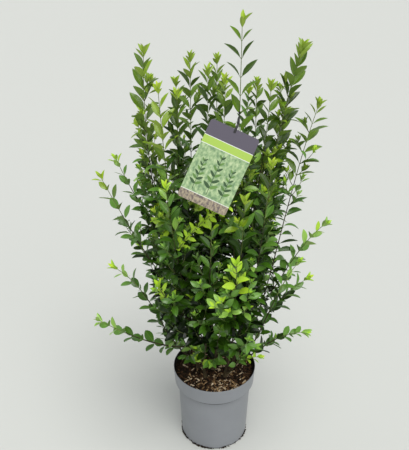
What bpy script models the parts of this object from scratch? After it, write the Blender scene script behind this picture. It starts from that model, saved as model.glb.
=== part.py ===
"""Potted privet shrub: nursery pot, compost, six stems, their boughs, masses of foliage and a hang tag."""

import math
import random

import bpy
import bmesh
from mathutils import Matrix, Quaternion, Vector
from mathutils.bvhtree import BVHTree
from mathutils.kdtree import KDTree

# Touching pieces keep this much air between them
GAP = 0.0003

# Pot: a moulded nursery pot with a stacking band under its rim
POT_HEIGHT = 0.2205
POT_RIM_RADIUS = 0.1085
POT_BAND_FOOT_RADIUS = 0.1052
POT_BAND_HEIGHT = 0.0455
POT_SHOULDER = 0.004
POT_WALL_TOP_RADIUS = 0.0962
POT_FOOT_RADIUS = 0.0885
POT_WALL = 0.0022
POT_FLOOR = 0.004
POT_LIP = 0.0014
POT_FOOT_BEVEL = 0.002
POT_SIDES = 36
DRAINS = 8
DRAIN_WIDTH = 0.024
DRAIN_HEIGHT = 0.0055
DRAIN_DEPTH = 0.016
DRAIN_PAST_WALL = 0.008
SMOOTH_ANGLE = 35.0

# Compost, filled to just under the rim
SOIL_TOP = 0.2030
SOIL_AIR = 0.0007
SOIL_STEP_AIR = 0.0003
SOIL_STEP_RISE = 0.001

# Stems, boughs and twigs
STEM_FOOT_RADIUS = 0.0042
STEM_TOP_RADIUS = 0.0030
FLARE = 0.8
FLARE_HEIGHT = 0.007
STEM_LENGTH = 0.075
STUB_LENGTH = 0.018
BOUGH_RADIUS = 0.0026
BOUGH_LENGTH = 0.055
FOLIAGE_STEM_RADIUS = 0.0021
TIP_RADIUS = 0.0008
SIDE_SHOOT_RADIUS = 0.0016
TWIG_RADIUS = 0.0013
TAPER_POWER = 0.8
TWIG_TAPER = (1.0, 0.85, 0.6)
STUB_TAPER = (1.1, 1.05, 1.0)
STEM_RINGS = (0.0, 0.005, 0.012, 0.032, STEM_LENGTH)
BOUGH_RINGS = 4
STEM_SIDES = 8
LIMB_SIDES = 6
TWIG_SIDES = 3
TUBE_STEP = 0.090
PATH_STEP = 0.004
FOOT_PULL = 0.36
FORK_PULL = 0.13
LOW_PULL = 0.30
TIP_PULL = 0.36

# Leaves, in opposite pairs with each pair turned a right angle from the last
LEAF_LENGTH = 0.062
DENSE_LEAF_LENGTH = 0.072
LOW_LEAF_LENGTH = 0.042
LEAF_WIDTH_SHARE = 0.42
LEAF_WIDEST_AT = 0.42
LEAF_LIFT = 0.03
LEAF_ROOT = 0.0005
LEAF_ROOT_TOP = 0.0002
LEAF_ROOT_OFFSET = 0.0004
LEAF_ANGLE = 42.0
LEAF_SPACING = 0.40
LEAF_TRIES = (1.0, 0.75)
LEAF_BACK = 0.003
LOW_LEAF_ANGLE = 55.0
TIP_LEAF_ANGLE = 24.0
FACING_LOW = 1.1
FACING_HIGH = 0.35
TIP_CLUSTER = 0.024
TIP_BEYOND_WOOD = 0.8 * TIP_CLUSTER
TIP_SHARE = 0.52
TIP_SHRINK = 0.17
PAIR_SKEW = 0.2
ANGLE_SPREAD = 7.0
SIZE_SPREAD = 0.08
OPEN_PAIR_GAP = 0.055
DENSE_PAIR_GAP = 0.055
LOW_PAIR_GAP = 0.035
DENSE_SHARE = 0.50
SIDE_BARE_SHARE = 0.22
FIRST_PAIR = 0.020
LAST_PAIR = 0.012
TWIG_LENGTH = 0.070
TWIG_LENGTH_RANGE = (0.8, 1.25)
SHORT_TWIG_SHARE = 0.55
TWIG_PAIR_SHARE = 0.9
TWIG_PAIR_AT = 0.06

# A twig's two halves head outwards, along its shoot and upwards in these shares
TWIG_FIRST_HALF = (0.80, 0.60, 0.0)
TWIG_LAST_HALF = (0.55, 0.75, 0.25)

# Each mass's own space
CELL_RADIUS = 0.085
CELL_MARGIN = 0.0012
CELL_NEIGHBOURS = 60
WOOD_SAMPLES = 20
WOOD = "wood"
RIM_INSIDE_CLEAR = 0.006
RIM_OUTSIDE_CLEAR = 0.002
RIM_OVER_CLEAR = 0.003
SOIL_CLEAR = 0.004
SEED = 41

# Where each stem leaves the compost: reach from the pot's axis in metres, direction in degrees.
# A direction of 0 is the shrub's right, and 90 is its back
FEET = {
    "centre": (0.004, 160.0),
    "front_right": (0.040, -44.0),
    "right": (0.047, 8.0),
    "back": (0.038, 84.0),
    "left": (0.043, 172.0),
    "front_left": (0.038, -128.0),
}

# Shoots that rise from their own foot: tip height, reach and direction, spread at the foot, lean at the tip
LEADERS = {
    "centre": (1.020, 0.036, 122.0, 3.0, 0.0),
    "front_right": (1.150, 0.092, -60.0, 7.0, 0.0),
    "right": (1.077, 0.176, 0.0, 10.0, 14.0),
    "back": (1.016, 0.140, 89.0, 10.0, 2.0),
    "left": (1.066, 0.156, 173.0, 13.0, -3.0),
    "front_left": (1.010, 0.135, -154.0, 12.0, 3.0),
}

# Shoots that fork from a stem: which stem, fork height over the compost, then the same five sizes
BOUGHS = {
    "front": ("front_right", 0.034, 0.800, 0.161, -69.0, 46.0, 4.0),
    "right_outer": ("right", 0.046, 0.962, 0.222, -5.0, 50.0, 15.0),
    "right_rear": ("right", 0.022, 0.900, 0.205, 36.0, 48.0, 7.0),
    "back_left": ("back", 0.040, 0.955, 0.190, 120.0, 50.0, 4.0),
    "left_back": ("left", 0.048, 1.036, 0.099, 126.0, 42.0, 0.0),
    "front_mid": ("front_left", 0.038, 0.775, 0.160, -94.0, 46.0, 4.0),
}

# Low shoots with leaves nearly from their foot, in the same terms
LOW_SHOOTS = {
    "low_left": ("front_left", 0.016, 0.431, 0.306, -165.0, 58.0, 74.0),
    "low_right": ("right", 0.010, 0.345, 0.249, -6.0, 62.0, 86.0),
    "low_front_left": ("front_left", 0.012, 0.372, 0.132, -112.0, 40.0, 55.0),
    "low_front_right": ("front_right", 0.012, 0.381, 0.160, -50.0, 52.0, 50.0),
    "low_front": ("centre", 0.016, 0.470, 0.160, -86.0, 44.0, 34.0),
    "low_rear_right": ("back", 0.026, 0.450, 0.225, 46.0, 54.0, 48.0),
    "low_back": ("back", 0.014, 0.480, 0.240, 96.0, 52.0, 45.0),
    "low_left_back": ("left", 0.012, 0.520, 0.245, 146.0, 50.0, 40.0),
    "side_left": ("left", 0.026, 0.560, 0.258, -171.0, 55.0, 50.0),
    "side_front_right": ("front_right", 0.022, 0.601, 0.213, -22.0, 50.0, 30.0),
}

# Side shoots that spring from another shoot and belong to its mass: which shoot, the height over the compost
# where they leave it, then tip height, reach and direction, spread and lean
SIDE_SHOOTS = {
    "mid": ("centre", 0.360, 1.016, 0.026, -50.0, 36.0, 0.0),
    "right_inner": ("front_right", 0.330, 1.006, 0.117, -15.0, 38.0, 2.0),
    "right_back": ("right", 0.330, 0.974, 0.137, 47.0, 38.0, 3.0),
    "back_right": ("back", 0.240, 0.930, 0.200, 66.0, 40.0, 5.0),
    "left_rear": ("left_back", 0.200, 0.900, 0.205, 148.0, 40.0, 5.0),
    "left_inner": ("front_left", 0.360, 0.990, 0.090, -158.0, 30.0, -2.0),
    "arch_left_high": ("left", 0.400, 0.829, 0.231, 180.0, 42.0, 20.0),
    "arch_left": ("left", 0.240, 0.803, 0.266, -171.0, 46.0, 22.0),
    "arch_right": ("right_outer", 0.220, 0.673, 0.267, -6.0, 52.0, 44.0),
    "side_right": ("right_outer", 0.130, 0.521, 0.238, -7.0, 54.0, 50.0),
    "front_right_outer": ("front", 0.160, 0.866, 0.164, -46.0, 44.0, 4.0),
    "lime_front": ("front", 0.230, 0.675, 0.205, -78.0, 40.0, 14.0),
    "front_left_outer": ("front_mid", 0.165, 0.820, 0.168, -130.0, 44.0, 5.0),
    "lime_front_left": ("front_left_outer", 0.215, 0.574, 0.207, -125.0, 44.0, 20.0),
}

# Hang tag: a card with rounded corners and a strap in one piece with it, closed round the tall front stem
TAG_WIDTH = 0.106
TAG_LENGTH = 0.168
TAG_THICKNESS = 0.0009
TAG_CORNER = 0.006
TAG_CORNER_STEPS = 3
TAG_TURN = 24.5
TAG_LEAN = 20.0
TAG_TOP_CENTRE = (0.036, -0.134, 0.934)
TAG_CLEAR = 0.004
TAG_FRONT_CLEAR = 0.30
STRAP_WIDTH = 0.005
STRAP_THICKNESS = 0.0007
STRAP_HEIGHT = 0.948
STRAP_LOOP_WALL = 0.0010
STRAP_LOOP_SIDES = 16
STRAP_SUNK = 0.008
STRAP_ARCH = 0.003
STRAP_BEND = 0.010
STRAP_STEM = "front_right"
STRAP_CLEAR = 0.012

COLOURS = {
    "pot": ((0.27, 0.28, 0.31), 0.55),
    "soil": ((0.035, 0.022, 0.015), 0.95),
    "bark": ((0.14, 0.10, 0.07), 0.85),
    "leaf": ((0.055, 0.14, 0.03), 0.5),
    "tag": ((0.42, 0.58, 0.34), 0.4),
}


def clear_scene():
    for obj in list(bpy.data.objects):
        bpy.data.objects.remove(obj, do_unlink=True)


def material(name):
    made = bpy.data.materials.get(name)
    if made:
        return made
    colour, roughness = COLOURS[name]
    made = bpy.data.materials.new(name)
    made.use_nodes = True
    shader = made.node_tree.nodes["Principled BSDF"]
    shader.inputs["Base Color"].default_value = (*colour, 1.0)
    shader.inputs["Roughness"].default_value = roughness
    shader.inputs["Metallic"].default_value = 0.0
    return made


def add_object(name, verts, faces, colour, collection=None):
    """An object of a closed mesh, its faces turned outwards."""
    mesh = bpy.data.meshes.new(name)
    mesh.from_pydata([tuple(v) for v in verts], [], faces)
    work = bmesh.new()
    work.from_mesh(mesh)
    bmesh.ops.recalc_face_normals(work, faces=work.faces)
    work.to_mesh(mesh)
    work.free()
    obj = bpy.data.objects.new(name, mesh)
    obj.data.materials.append(material(colour))
    (collection or bpy.context.scene.collection).objects.link(obj)
    return obj


def polar(reach, direction, height):
    turn = math.radians(direction)
    return Vector((reach * math.cos(turn), reach * math.sin(turn), height))


# Paths


def smooth_path(start, tip, spread, lean, pull):
    """Points every few millimetres from start to tip, with the angle from the vertical given at both ends."""
    flat = Vector((tip.x - start.x, tip.y - start.y, 0.0))
    outward = flat.normalized() if flat.length > 1e-6 else Vector((1.0, 0.0, 0.0))
    reach = (tip - start).length

    def heading(degrees):
        turn = math.radians(degrees)
        return outward * math.sin(turn) + Vector((0.0, 0.0, math.cos(turn)))

    first = start + heading(spread) * reach * pull
    last = tip - heading(lean) * reach * TIP_PULL
    count = max(4, round(reach / PATH_STEP))
    points = []
    for i in range(count + 1):
        t = i / count
        s = 1.0 - t
        near_start = start * s ** 3 + first * 3 * s * s * t
        near_tip = last * 3 * s * t * t + tip * t ** 3
        points.append(near_start + near_tip)
    return points


def lengths_along(points):
    total = [0.0]
    for a, b in zip(points, points[1:]):
        total.append(total[-1] + (b - a).length)
    return total


def point_at(points, along):
    """Place and heading on the path, at a distance from its start."""
    total = lengths_along(points)
    for i in range(1, len(points)):
        if total[i] >= along or i == len(points) - 1:
            step = points[i] - points[i - 1]
            share = (along - total[i - 1]) / max(step.length, 1e-9)
            return points[i - 1] + step * share, step.normalized()


def stretch(points, start, end, count):
    """The path between two distances from its start, as count + 1 even (place, heading) pairs."""
    return [point_at(points, start + (end - start) * i / count) for i in range(count + 1)]


def place_at_height(points, height):
    for a, b in zip(points, points[1:]):
        if b.z >= height:
            return a + (b - a) * ((height - a.z) / max(b.z - a.z, 1e-9))
    return points[-1]


# Solids


def tube(name, stations, radii, sides, colour, collection=None):
    """A closed faceted tube through (place, heading) stations, each ring square to its heading."""
    across = stations[0][1].orthogonal().normalized()
    verts = []
    for (place, heading), radius in zip(stations, radii):
        across = (across - heading * across.dot(heading)).normalized()
        beside = heading.cross(across)
        for k in range(sides):
            turn = 2.0 * math.pi * k / sides
            verts.append(place + (across * math.cos(turn) + beside * math.sin(turn)) * radius)
    faces = [tuple(reversed(range(sides)))]
    for i in range(len(stations) - 1):
        for k in range(sides):
            a = i * sides + k
            b = i * sides + (k + 1) % sides
            faces.append((a, b, b + sides, a + sides))
    last = (len(stations) - 1) * sides
    faces.append(tuple(range(last, last + sides)))
    return add_object(name, verts, faces, colour, collection)


def leaf_points(root, heading, face, length):
    """Six corners of a leaf: a small three-cornered root, the two sides of the blade and its tip."""
    side = heading.cross(face).normalized()
    face = side.cross(heading).normalized()
    half = length * LEAF_WIDTH_SHARE / 2.0
    wide = length * LEAF_WIDEST_AT
    return [
        root + side * LEAF_ROOT + face * LEAF_ROOT_TOP,
        root - side * LEAF_ROOT + face * LEAF_ROOT_TOP,
        root - face * LEAF_ROOT,
        root + heading * wide + side * half + face * length * LEAF_LIFT,
        root + heading * wide - side * half + face * length * LEAF_LIFT,
        root + heading * length,
    ]


LEAF_FACES = [
    (0, 2, 1),
    (0, 1, 4),
    (0, 4, 3),
    (3, 4, 5),
    (0, 3, 2),
    (3, 5, 2),
    (5, 4, 2),
    (4, 1, 2),
]


def keep_largest_body(obj):
    """Drops loose scraps, and fills a hollow that fusing sealed by dropping its skin."""
    work = bmesh.new()
    work.from_mesh(obj.data)
    work.verts.ensure_lookup_table()
    unseen = set(work.verts)
    bodies = []
    while unseen:
        body = set()
        queue = [unseen.pop()]
        while queue:
            vert = queue.pop()
            body.add(vert)
            for edge in vert.link_edges:
                other = edge.other_vert(vert)
                if other in unseen:
                    unseen.discard(other)
                    queue.append(other)
        bodies.append(body)
    bodies.sort(key=len, reverse=True)
    for body in bodies[1:]:
        bmesh.ops.delete(work, geom=list(body), context="VERTS")
    work.to_mesh(obj.data)
    work.free()


def apply_modifiers(obj):
    graph = bpy.context.evaluated_depsgraph_get()
    made = bpy.data.meshes.new_from_object(obj.evaluated_get(graph))
    obj.modifiers.clear()
    obj.data = made


def fuse(obj, pieces):
    """Joins every object of the collection to obj by one union, then removes them."""
    if not pieces.objects:
        bpy.data.collections.remove(pieces)
        return
    join = obj.modifiers.new("fuse", "BOOLEAN")
    join.operation = "UNION"
    join.operand_type = "COLLECTION"
    join.collection = pieces
    join.solver = "MANIFOLD"
    apply_modifiers(obj)
    for piece in list(pieces.objects):
        bpy.data.objects.remove(piece, do_unlink=True)
    bpy.data.collections.remove(pieces)
    keep_largest_body(obj)


def pieces_of(name):
    made = bpy.data.collections.new(name + "_pieces")
    bpy.context.scene.collection.children.link(made)
    return made


# Pot and compost


BAND_FOOT = POT_HEIGHT - POT_BAND_HEIGHT
WALL_TOP = BAND_FOOT - POT_SHOULDER


def pot_radius(height):
    """Outer radius of the wall under the stacking band."""
    return POT_FOOT_RADIUS + (POT_WALL_TOP_RADIUS - POT_FOOT_RADIUS) * height / WALL_TOP


def turned(name, profile, sides, colour):
    """A solid of revolution round +Z, from a profile whose ends lie on the axis, listed from the foot up."""
    verts = []
    rings = []
    for radius, height in profile:
        if radius == 0.0:
            rings.append([len(verts)])
            verts.append((0.0, 0.0, height))
            continue
        rings.append(list(range(len(verts), len(verts) + sides)))
        for k in range(sides):
            turn = 2.0 * math.pi * k / sides
            verts.append((radius * math.cos(turn), radius * math.sin(turn), height))
    faces = []
    for low, high in zip(rings, rings[1:]):
        for k in range(sides):
            following = (k + 1) % sides
            if len(low) == 1:
                faces.append((low[0], high[following], high[k]))
            elif len(high) == 1:
                faces.append((low[k], low[following], high[0]))
            else:
                faces.append((low[k], low[following], high[following], high[k]))
    return add_object(name, verts, faces, colour)


def smooth(obj):
    obj.data.shade_smooth()
    obj.data.set_sharp_from_angle(angle=math.radians(SMOOTH_ANGLE))


def block_cutter(name, size):
    """A box about its own origin that cuts a solid and isn't shown."""
    work = bmesh.new()
    bmesh.ops.create_cube(work, size=1.0)
    bmesh.ops.scale(work, vec=size, verts=work.verts)
    mesh = bpy.data.meshes.new(name)
    work.to_mesh(mesh)
    work.free()
    cutter = bpy.data.objects.new(name, mesh)
    bpy.context.scene.collection.objects.link(cutter)
    cutter.hide_render = True
    cutter.display_type = "WIRE"
    return cutter


def make_pot():
    """A thin wall and floor, a shoulder, the band over it and a rounded lip, with notches at the foot."""
    profile = [
        (0.0, 0.0),
        (POT_FOOT_RADIUS - POT_FOOT_BEVEL, 0.0),
        (pot_radius(POT_FOOT_BEVEL), POT_FOOT_BEVEL),
        (pot_radius(WALL_TOP), WALL_TOP),
        (POT_BAND_FOOT_RADIUS, BAND_FOOT),
        (POT_RIM_RADIUS - POT_LIP * 0.3, POT_HEIGHT - POT_LIP),
        (POT_RIM_RADIUS - POT_LIP, POT_HEIGHT),
        (POT_RIM_RADIUS - POT_WALL, POT_HEIGHT - POT_LIP * 0.6),
        (POT_BAND_FOOT_RADIUS - POT_WALL, BAND_FOOT),
        (pot_radius(WALL_TOP) - POT_WALL, WALL_TOP),
        (pot_radius(POT_FLOOR) - POT_WALL, POT_FLOOR),
        (0.0, POT_FLOOR),
    ]
    pot = turned("pot", profile, POT_SIDES, "pot")
    middle = POT_FOOT_RADIUS + (DRAIN_PAST_WALL - DRAIN_DEPTH) / 2.0
    for k in range(DRAINS):
        direction = 360.0 * (k + 0.5) / DRAINS
        size = (DRAIN_DEPTH + DRAIN_PAST_WALL, DRAIN_WIDTH, 2.0 * DRAIN_HEIGHT)
        cutter = block_cutter(f"drain_cutter_{k + 1}", size)
        cutter.location = polar(middle, direction, 0.0)
        cutter.rotation_euler = (0.0, 0.0, math.radians(direction))
        cut = pot.modifiers.new(f"drain_{k + 1}", "BOOLEAN")
        cut.operation = "DIFFERENCE"
        cut.object = cutter
    smooth(pot)


def make_soil():
    """The compost, standing clear of the pot's wall by a little air."""
    inset = POT_WALL + SOIL_AIR
    slope = (POT_RIM_RADIUS - POT_BAND_FOOT_RADIUS) / POT_BAND_HEIGHT
    top_radius = POT_BAND_FOOT_RADIUS + slope * (SOIL_TOP - BAND_FOOT) - inset
    profile = [
        (0.0, POT_FLOOR + GAP),
        (pot_radius(POT_FLOOR) - inset, POT_FLOOR + GAP),
        (pot_radius(WALL_TOP) - inset, WALL_TOP),
        (POT_BAND_FOOT_RADIUS - inset - SOIL_STEP_AIR, BAND_FOOT + SOIL_STEP_RISE),
        (top_radius, SOIL_TOP),
        (0.0, SOIL_TOP),
    ]
    turned("soil", profile, POT_SIDES, "soil")


# The skeleton: every shoot's path, who owns it and where it is bare


class Shoot:
    """A shoot's path, its mass of foliage, its bare length, its radius where leaves begin and its kind."""

    def __init__(self, name, path, mass, bare, start_radius, kind):
        self.name = name
        self.path = path
        self.mass = mass
        self.bare = bare
        self.start_radius = start_radius
        self.kind = kind
        self.length = lengths_along(path)[-1]


def grow_skeleton():
    """Paths of all shoots. The leaf tips reach the stated height, so the wood ends a little lower."""
    shoots = {}
    bough_space = GAP + BOUGH_LENGTH + GAP
    for name, (height, reach, direction, spread, lean) in LEADERS.items():
        foot_reach, foot_direction = FEET[name]
        foot = polar(foot_reach, foot_direction, SOIL_TOP + GAP)
        tip = polar(reach, direction, height - TIP_BEYOND_WOOD)
        path = smooth_path(foot, tip, spread, lean, FOOT_PULL)
        bare = STEM_LENGTH + bough_space
        shoots[name] = Shoot(name, path, name, bare, FOLIAGE_STEM_RADIUS, "leader")
    for kind, rows in (("bough", BOUGHS), ("low", LOW_SHOOTS), ("side", SIDE_SHOOTS)):
        pull = LOW_PULL if kind == "low" else FORK_PULL
        for name, (carrier, rise, height, reach, direction, spread, lean) in rows.items():
            fork = place_at_height(shoots[carrier].path, SOIL_TOP + rise)
            turn = math.radians(lean)
            level = reach - TIP_BEYOND_WOOD * math.sin(turn)
            tip = polar(level, direction, height - TIP_BEYOND_WOOD * math.cos(turn))
            path = smooth_path(fork, tip, spread, lean, pull)
            if kind == "bough":
                bare = STUB_LENGTH + bough_space
                shoots[name] = Shoot(name, path, name, bare, FOLIAGE_STEM_RADIUS, kind)
            elif kind == "low":
                shoots[name] = Shoot(name, path, name, STUB_LENGTH + GAP, BOUGH_RADIUS, kind)
            else:
                shoots[name] = Shoot(name, path, shoots[carrier].mass, 0.0, SIDE_SHOOT_RADIUS, kind)
    return shoots


def stem_radius(along):
    taper = STEM_FOOT_RADIUS + (STEM_TOP_RADIUS - STEM_FOOT_RADIUS) * along / STEM_LENGTH
    return taper * (1.0 + FLARE * math.exp(-along / FLARE_HEIGHT))


def make_stems(shoots):
    """Each stem from its flat foot on the compost to its bough, with a stub for each shoot that forks off."""
    for name in LEADERS:
        stations = [point_at(shoots[name].path, along) for along in STEM_RINGS]
        stations[0] = (stations[0][0], Vector((0.0, 0.0, 1.0)))
        radii = [stem_radius(along) for along in STEM_RINGS]
        stem = tube("stem_" + name, stations, radii, STEM_SIDES, "bark")
        stubs = pieces_of(stem.name)
        for other, row in {**BOUGHS, **LOW_SHOOTS}.items():
            if row[0] != name:
                continue
            stations = stretch(shoots[other].path, 0.0, STUB_LENGTH, len(STUB_TAPER) - 1)
            radii = [BOUGH_RADIUS * share for share in STUB_TAPER]
            tube("stub_" + other, stations, radii, LIMB_SIDES, "bark", stubs)
        fuse(stem, stubs)
        smooth(stem)


def make_boughs(shoots):
    """One tapering limb from each stem or stub up to where its mass begins."""
    for shoot in shoots.values():
        if shoot.kind not in ("leader", "bough"):
            continue
        start = shoot.bare - GAP - BOUGH_LENGTH
        stations = stretch(shoot.path, start, start + BOUGH_LENGTH, BOUGH_RINGS)
        first = STEM_TOP_RADIUS if shoot.kind == "leader" else BOUGH_RADIUS
        step = (FOLIAGE_STEM_RADIUS - first) / BOUGH_RINGS
        radii = [first + step * i for i in range(BOUGH_RINGS + 1)]
        smooth(tube("bough_" + shoot.name, stations, radii, LIMB_SIDES, "bark"))


# Foliage


class Crown:
    """Knows which mass owns a place, so that every mass keeps to its own space."""

    def __init__(self, shoots):
        self.owners = []
        places = []
        for shoot in shoots.values():
            for point in shoot.path:
                places.append(point)
                self.owners.append(shoot.mass)
        for shoot in shoots.values():
            if shoot.kind != "leader":
                continue
            for place, _ in stretch(shoot.path, 0.0, STEM_LENGTH, WOOD_SAMPLES):
                places.append(place)
                self.owners.append(WOOD)
        self.strap = strap_line(shoots)
        self.tree = KDTree(len(places))
        for i, place in enumerate(places):
            self.tree.insert(place, i)
        self.tree.balance()

    def owns(self, mass, place):
        """Whether a place is nearer this mass's shoots than any other's, and clear of the pot and the tag."""
        near = self.tree.find_n(place, CELL_NEIGHBOURS)
        own = min((d for _, i, d in near if self.owners[i] == mass), default=None)
        if own is None or own > CELL_RADIUS:
            return False
        for _, i, _ in self.tree.find_range(place, own + CELL_MARGIN + PATH_STEP):
            if self.owners[i] != mass:
                return False
        if distance_to_line(place, *self.strap) < STRAP_CLEAR:
            return False
        return clear_of_pot(place) and clear_of_tag(place)


def clear_of_pot(place):
    level = math.hypot(place.x, place.y)
    if level < POT_RIM_RADIUS - RIM_INSIDE_CLEAR:
        return place.z > SOIL_TOP + SOIL_CLEAR
    return level > POT_RIM_RADIUS + RIM_OUTSIDE_CLEAR or place.z > POT_HEIGHT + RIM_OVER_CLEAR


def tag_axes():
    """Across, up and out of the tag's face."""
    tilt = Matrix.Rotation(math.radians(-TAG_LEAN), 3, "X")
    out = tilt @ Vector((0.0, -1.0, 0.0))
    roll = Quaternion(out, math.radians(-TAG_TURN)).to_matrix()
    across = roll @ Vector((1.0, 0.0, 0.0))
    up = roll @ tilt @ Vector((0.0, 0.0, 1.0))
    return across, up, out


def clear_of_tag(place):
    across, up, out = tag_axes()
    offset = place - Vector(TAG_TOP_CENTRE)
    if abs(offset.dot(across)) > TAG_WIDTH / 2.0 + TAG_CLEAR:
        return True
    if not -TAG_LENGTH - TAG_CLEAR < offset.dot(up) < TAG_CLEAR:
        return True
    return not -TAG_CLEAR < offset.dot(out) < TAG_FRONT_CLEAR


def strap_line(shoots):
    """From the stem that the tag hangs on to the top of its card."""
    return place_at_height(shoots[STRAP_STEM].path, STRAP_HEIGHT), Vector(TAG_TOP_CENTRE)


def distance_to_line(place, start, end):
    step = end - start
    share = max(0.0, min(1.0, (place - start).dot(step) / step.length_squared))
    return (place - start - step * share).length


def leaf_places(corners):
    """Sample places on a leaf's blade, to test where it lies."""
    root = (corners[0] + corners[1] + corners[2]) / 3.0
    left, right, tip = corners[3:]
    middle = (left + right) / 2.0
    pairs = [(root, left), (root, right), (root, middle), (left, tip), (right, tip), (middle, tip)]
    places = [left, right, tip, middle]
    for a, b in pairs:
        places.append(a.lerp(b, 0.5))
    places.append(root.lerp(middle, 0.8))
    places.append(middle.lerp(tip, 0.25))
    return places


def outside(place):
    """The level direction from the pot's axis to a place, which leaves turn their faces to."""
    level = Vector((place.x, place.y, 0.0))
    return level.normalized() if level.length > 0.01 else Vector((0.0, 0.0, 0.0))


class Mass:
    """One mass of foliage: a stem, its side shoots and twigs, and leaves in opposite pairs.

    A leaf or twig is left out where it would leave the mass's own space or run through another piece of it.
    """

    def __init__(self, name, crown, rng):
        self.name = name
        self.crown = crown
        self.rng = rng
        self.pieces = pieces_of("foliage_" + name)
        self.shapes = []
        self.middles = []

    def remember(self, obj):
        """Keeps an object's surface for later tests, and returns its number."""
        verts = [v.co.copy() for v in obj.data.vertices]
        faces = [tuple(f.vertices) for f in obj.data.polygons]
        self.shapes.append(BVHTree.FromPolygons(verts, faces))
        return len(self.shapes) - 1

    def runs_through(self, verts, faces, carrier):
        shape = BVHTree.FromPolygons(verts, faces)
        return any(shape.overlap(other) for i, other in enumerate(self.shapes) if i != carrier)

    def add_leaf(self, root, heading, face, length, carrier, spaced=False):
        corners = leaf_points(root, heading, face, length)
        middle = (corners[3] + corners[4]) / 2.0
        if spaced and any((middle - other).length < LEAF_SPACING * length for other in self.middles):
            return False
        if not all(self.crown.owns(self.name, place) for place in leaf_places(corners)):
            return False
        if self.runs_through(corners, LEAF_FACES, carrier):
            return False
        self.middles.append(middle)
        name = f"leaf_{self.name}_{len(self.middles)}"
        self.remember(add_object(name, corners, LEAF_FACES, "leaf", self.pieces))
        return True

    def add_pair(self, place, along, across, length, angle, carrier, facing, spaced=False):
        """Two leaves, opposite each other, that lean away from the stem by an angle."""
        for side in (1.0, -1.0):
            skew = along.cross(across) * self.rng.uniform(-PAIR_SKEW, PAIR_SKEW)
            outward = (across * side + skew).normalized()
            turn = math.radians(angle + self.rng.uniform(-ANGLE_SPREAD, ANGLE_SPREAD))
            heading = along * math.cos(turn) + outward * math.sin(turn)
            face = along * math.sin(turn) - outward * math.cos(turn) + outside(place) * facing
            root = place + outward * LEAF_ROOT_OFFSET
            size = length * self.rng.uniform(1.0 - SIZE_SPREAD, 1.0 + SIZE_SPREAD)
            for share in LEAF_TRIES:
                if self.add_leaf(root, heading, face, size * share, carrier, spaced):
                    break

    def add_twig(self, place, along, outward, length, carrier):
        """A twig that leaves its stem at a wide angle and curves up, with a pair and a last leaf."""
        up = Vector((0.0, 0.0, 1.0))
        first, second = [
            (outward * out_share + along * along_share + up * up_share).normalized()
            for out_share, along_share, up_share in (TWIG_FIRST_HALF, TWIG_LAST_HALF)
        ]
        bend = place + first * length * 0.5
        end = bend + second * length * 0.5
        samples = [bend, end, place.lerp(bend, 0.5), bend.lerp(end, 0.5)]
        if not all(self.crown.owns(self.name, sample) for sample in samples):
            return False
        radii = [TWIG_RADIUS * share for share in TWIG_TAPER]
        stations = [(place, first), (bend, (first + second).normalized()), (end, second)]
        twig = tube(f"twig_{self.name}", stations, radii, TWIG_SIDES, "leaf", self.pieces)
        verts = [v.co.copy() for v in twig.data.vertices]
        if self.runs_through(verts, [tuple(f.vertices) for f in twig.data.polygons], carrier):
            bpy.data.objects.remove(twig, do_unlink=True)
            return False
        number = self.remember(twig)
        across = second.cross(along).normalized()
        pair_place = bend + second * length * TWIG_PAIR_AT
        size = DENSE_LEAF_LENGTH * TWIG_PAIR_SHARE
        self.add_pair(pair_place, second, across, size, LOW_LEAF_ANGLE, number, FACING_LOW, True)
        face = up + outside(place) * FACING_LOW
        self.add_leaf(end - second * LEAF_BACK, second, face, DENSE_LEAF_LENGTH, number, True)
        return True


def size_near_tip(left, full):
    """Leaves shrink over the last few pairs of a shoot."""
    return full * min(1.0, TIP_SHARE + left / TIP_SHRINK)


def dress_shoot(mass, shoot, carrier):
    """Leaf pairs up the shoot, and twigs between them in its lower, denser part."""
    rng = mass.rng
    low = shoot.kind in ("low", "side")
    full = LOW_LEAF_LENGTH if low else LEAF_LENGTH
    side_shoot = shoot.kind == "side"
    along_now = shoot.length * SIDE_BARE_SHARE if side_shoot else shoot.bare + FIRST_PAIR
    dense_end = shoot.bare + (shoot.length - shoot.bare) * DENSE_SHARE
    place, heading = point_at(shoot.path, along_now)
    across = Quaternion(heading, rng.uniform(0.0, math.pi)) @ heading.orthogonal().normalized()
    twigs_next = True
    while along_now < shoot.length - LAST_PAIR:
        place, heading = point_at(shoot.path, along_now)
        across = (across - heading * across.dot(heading)).normalized()
        size = size_near_tip(shoot.length - along_now, full)
        if low:
            mass.add_pair(place, heading, across, size, LOW_LEAF_ANGLE, carrier, FACING_LOW)
            along_now += LOW_PAIR_GAP
        elif along_now < dense_end and twigs_next:
            for side in (1.0, -1.0):
                length = TWIG_LENGTH * rng.uniform(*TWIG_LENGTH_RANGE)
                if not mass.add_twig(place, heading, across * side, length, carrier):
                    mass.add_twig(place, heading, across * side, length * SHORT_TWIG_SHARE, carrier)
            along_now += DENSE_PAIR_GAP
            twigs_next = False
        else:
            mass.add_pair(place, heading, across, size, LEAF_ANGLE, carrier, FACING_HIGH)
            along_now += OPEN_PAIR_GAP * rng.uniform(1.0 - SIZE_SPREAD, 1.0 + SIZE_SPREAD)
            twigs_next = True
        across = heading.cross(across).normalized()
    place, heading = point_at(shoot.path, shoot.length - LEAF_BACK)
    mass.add_pair(place, heading, across, TIP_CLUSTER, TIP_LEAF_ANGLE, carrier, 0.0)


def tip_taper(first, share):
    """Radius at a share of the way from the start of a mass's shoot to its tip."""
    return first + (TIP_RADIUS - first) * share ** TAPER_POWER


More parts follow.
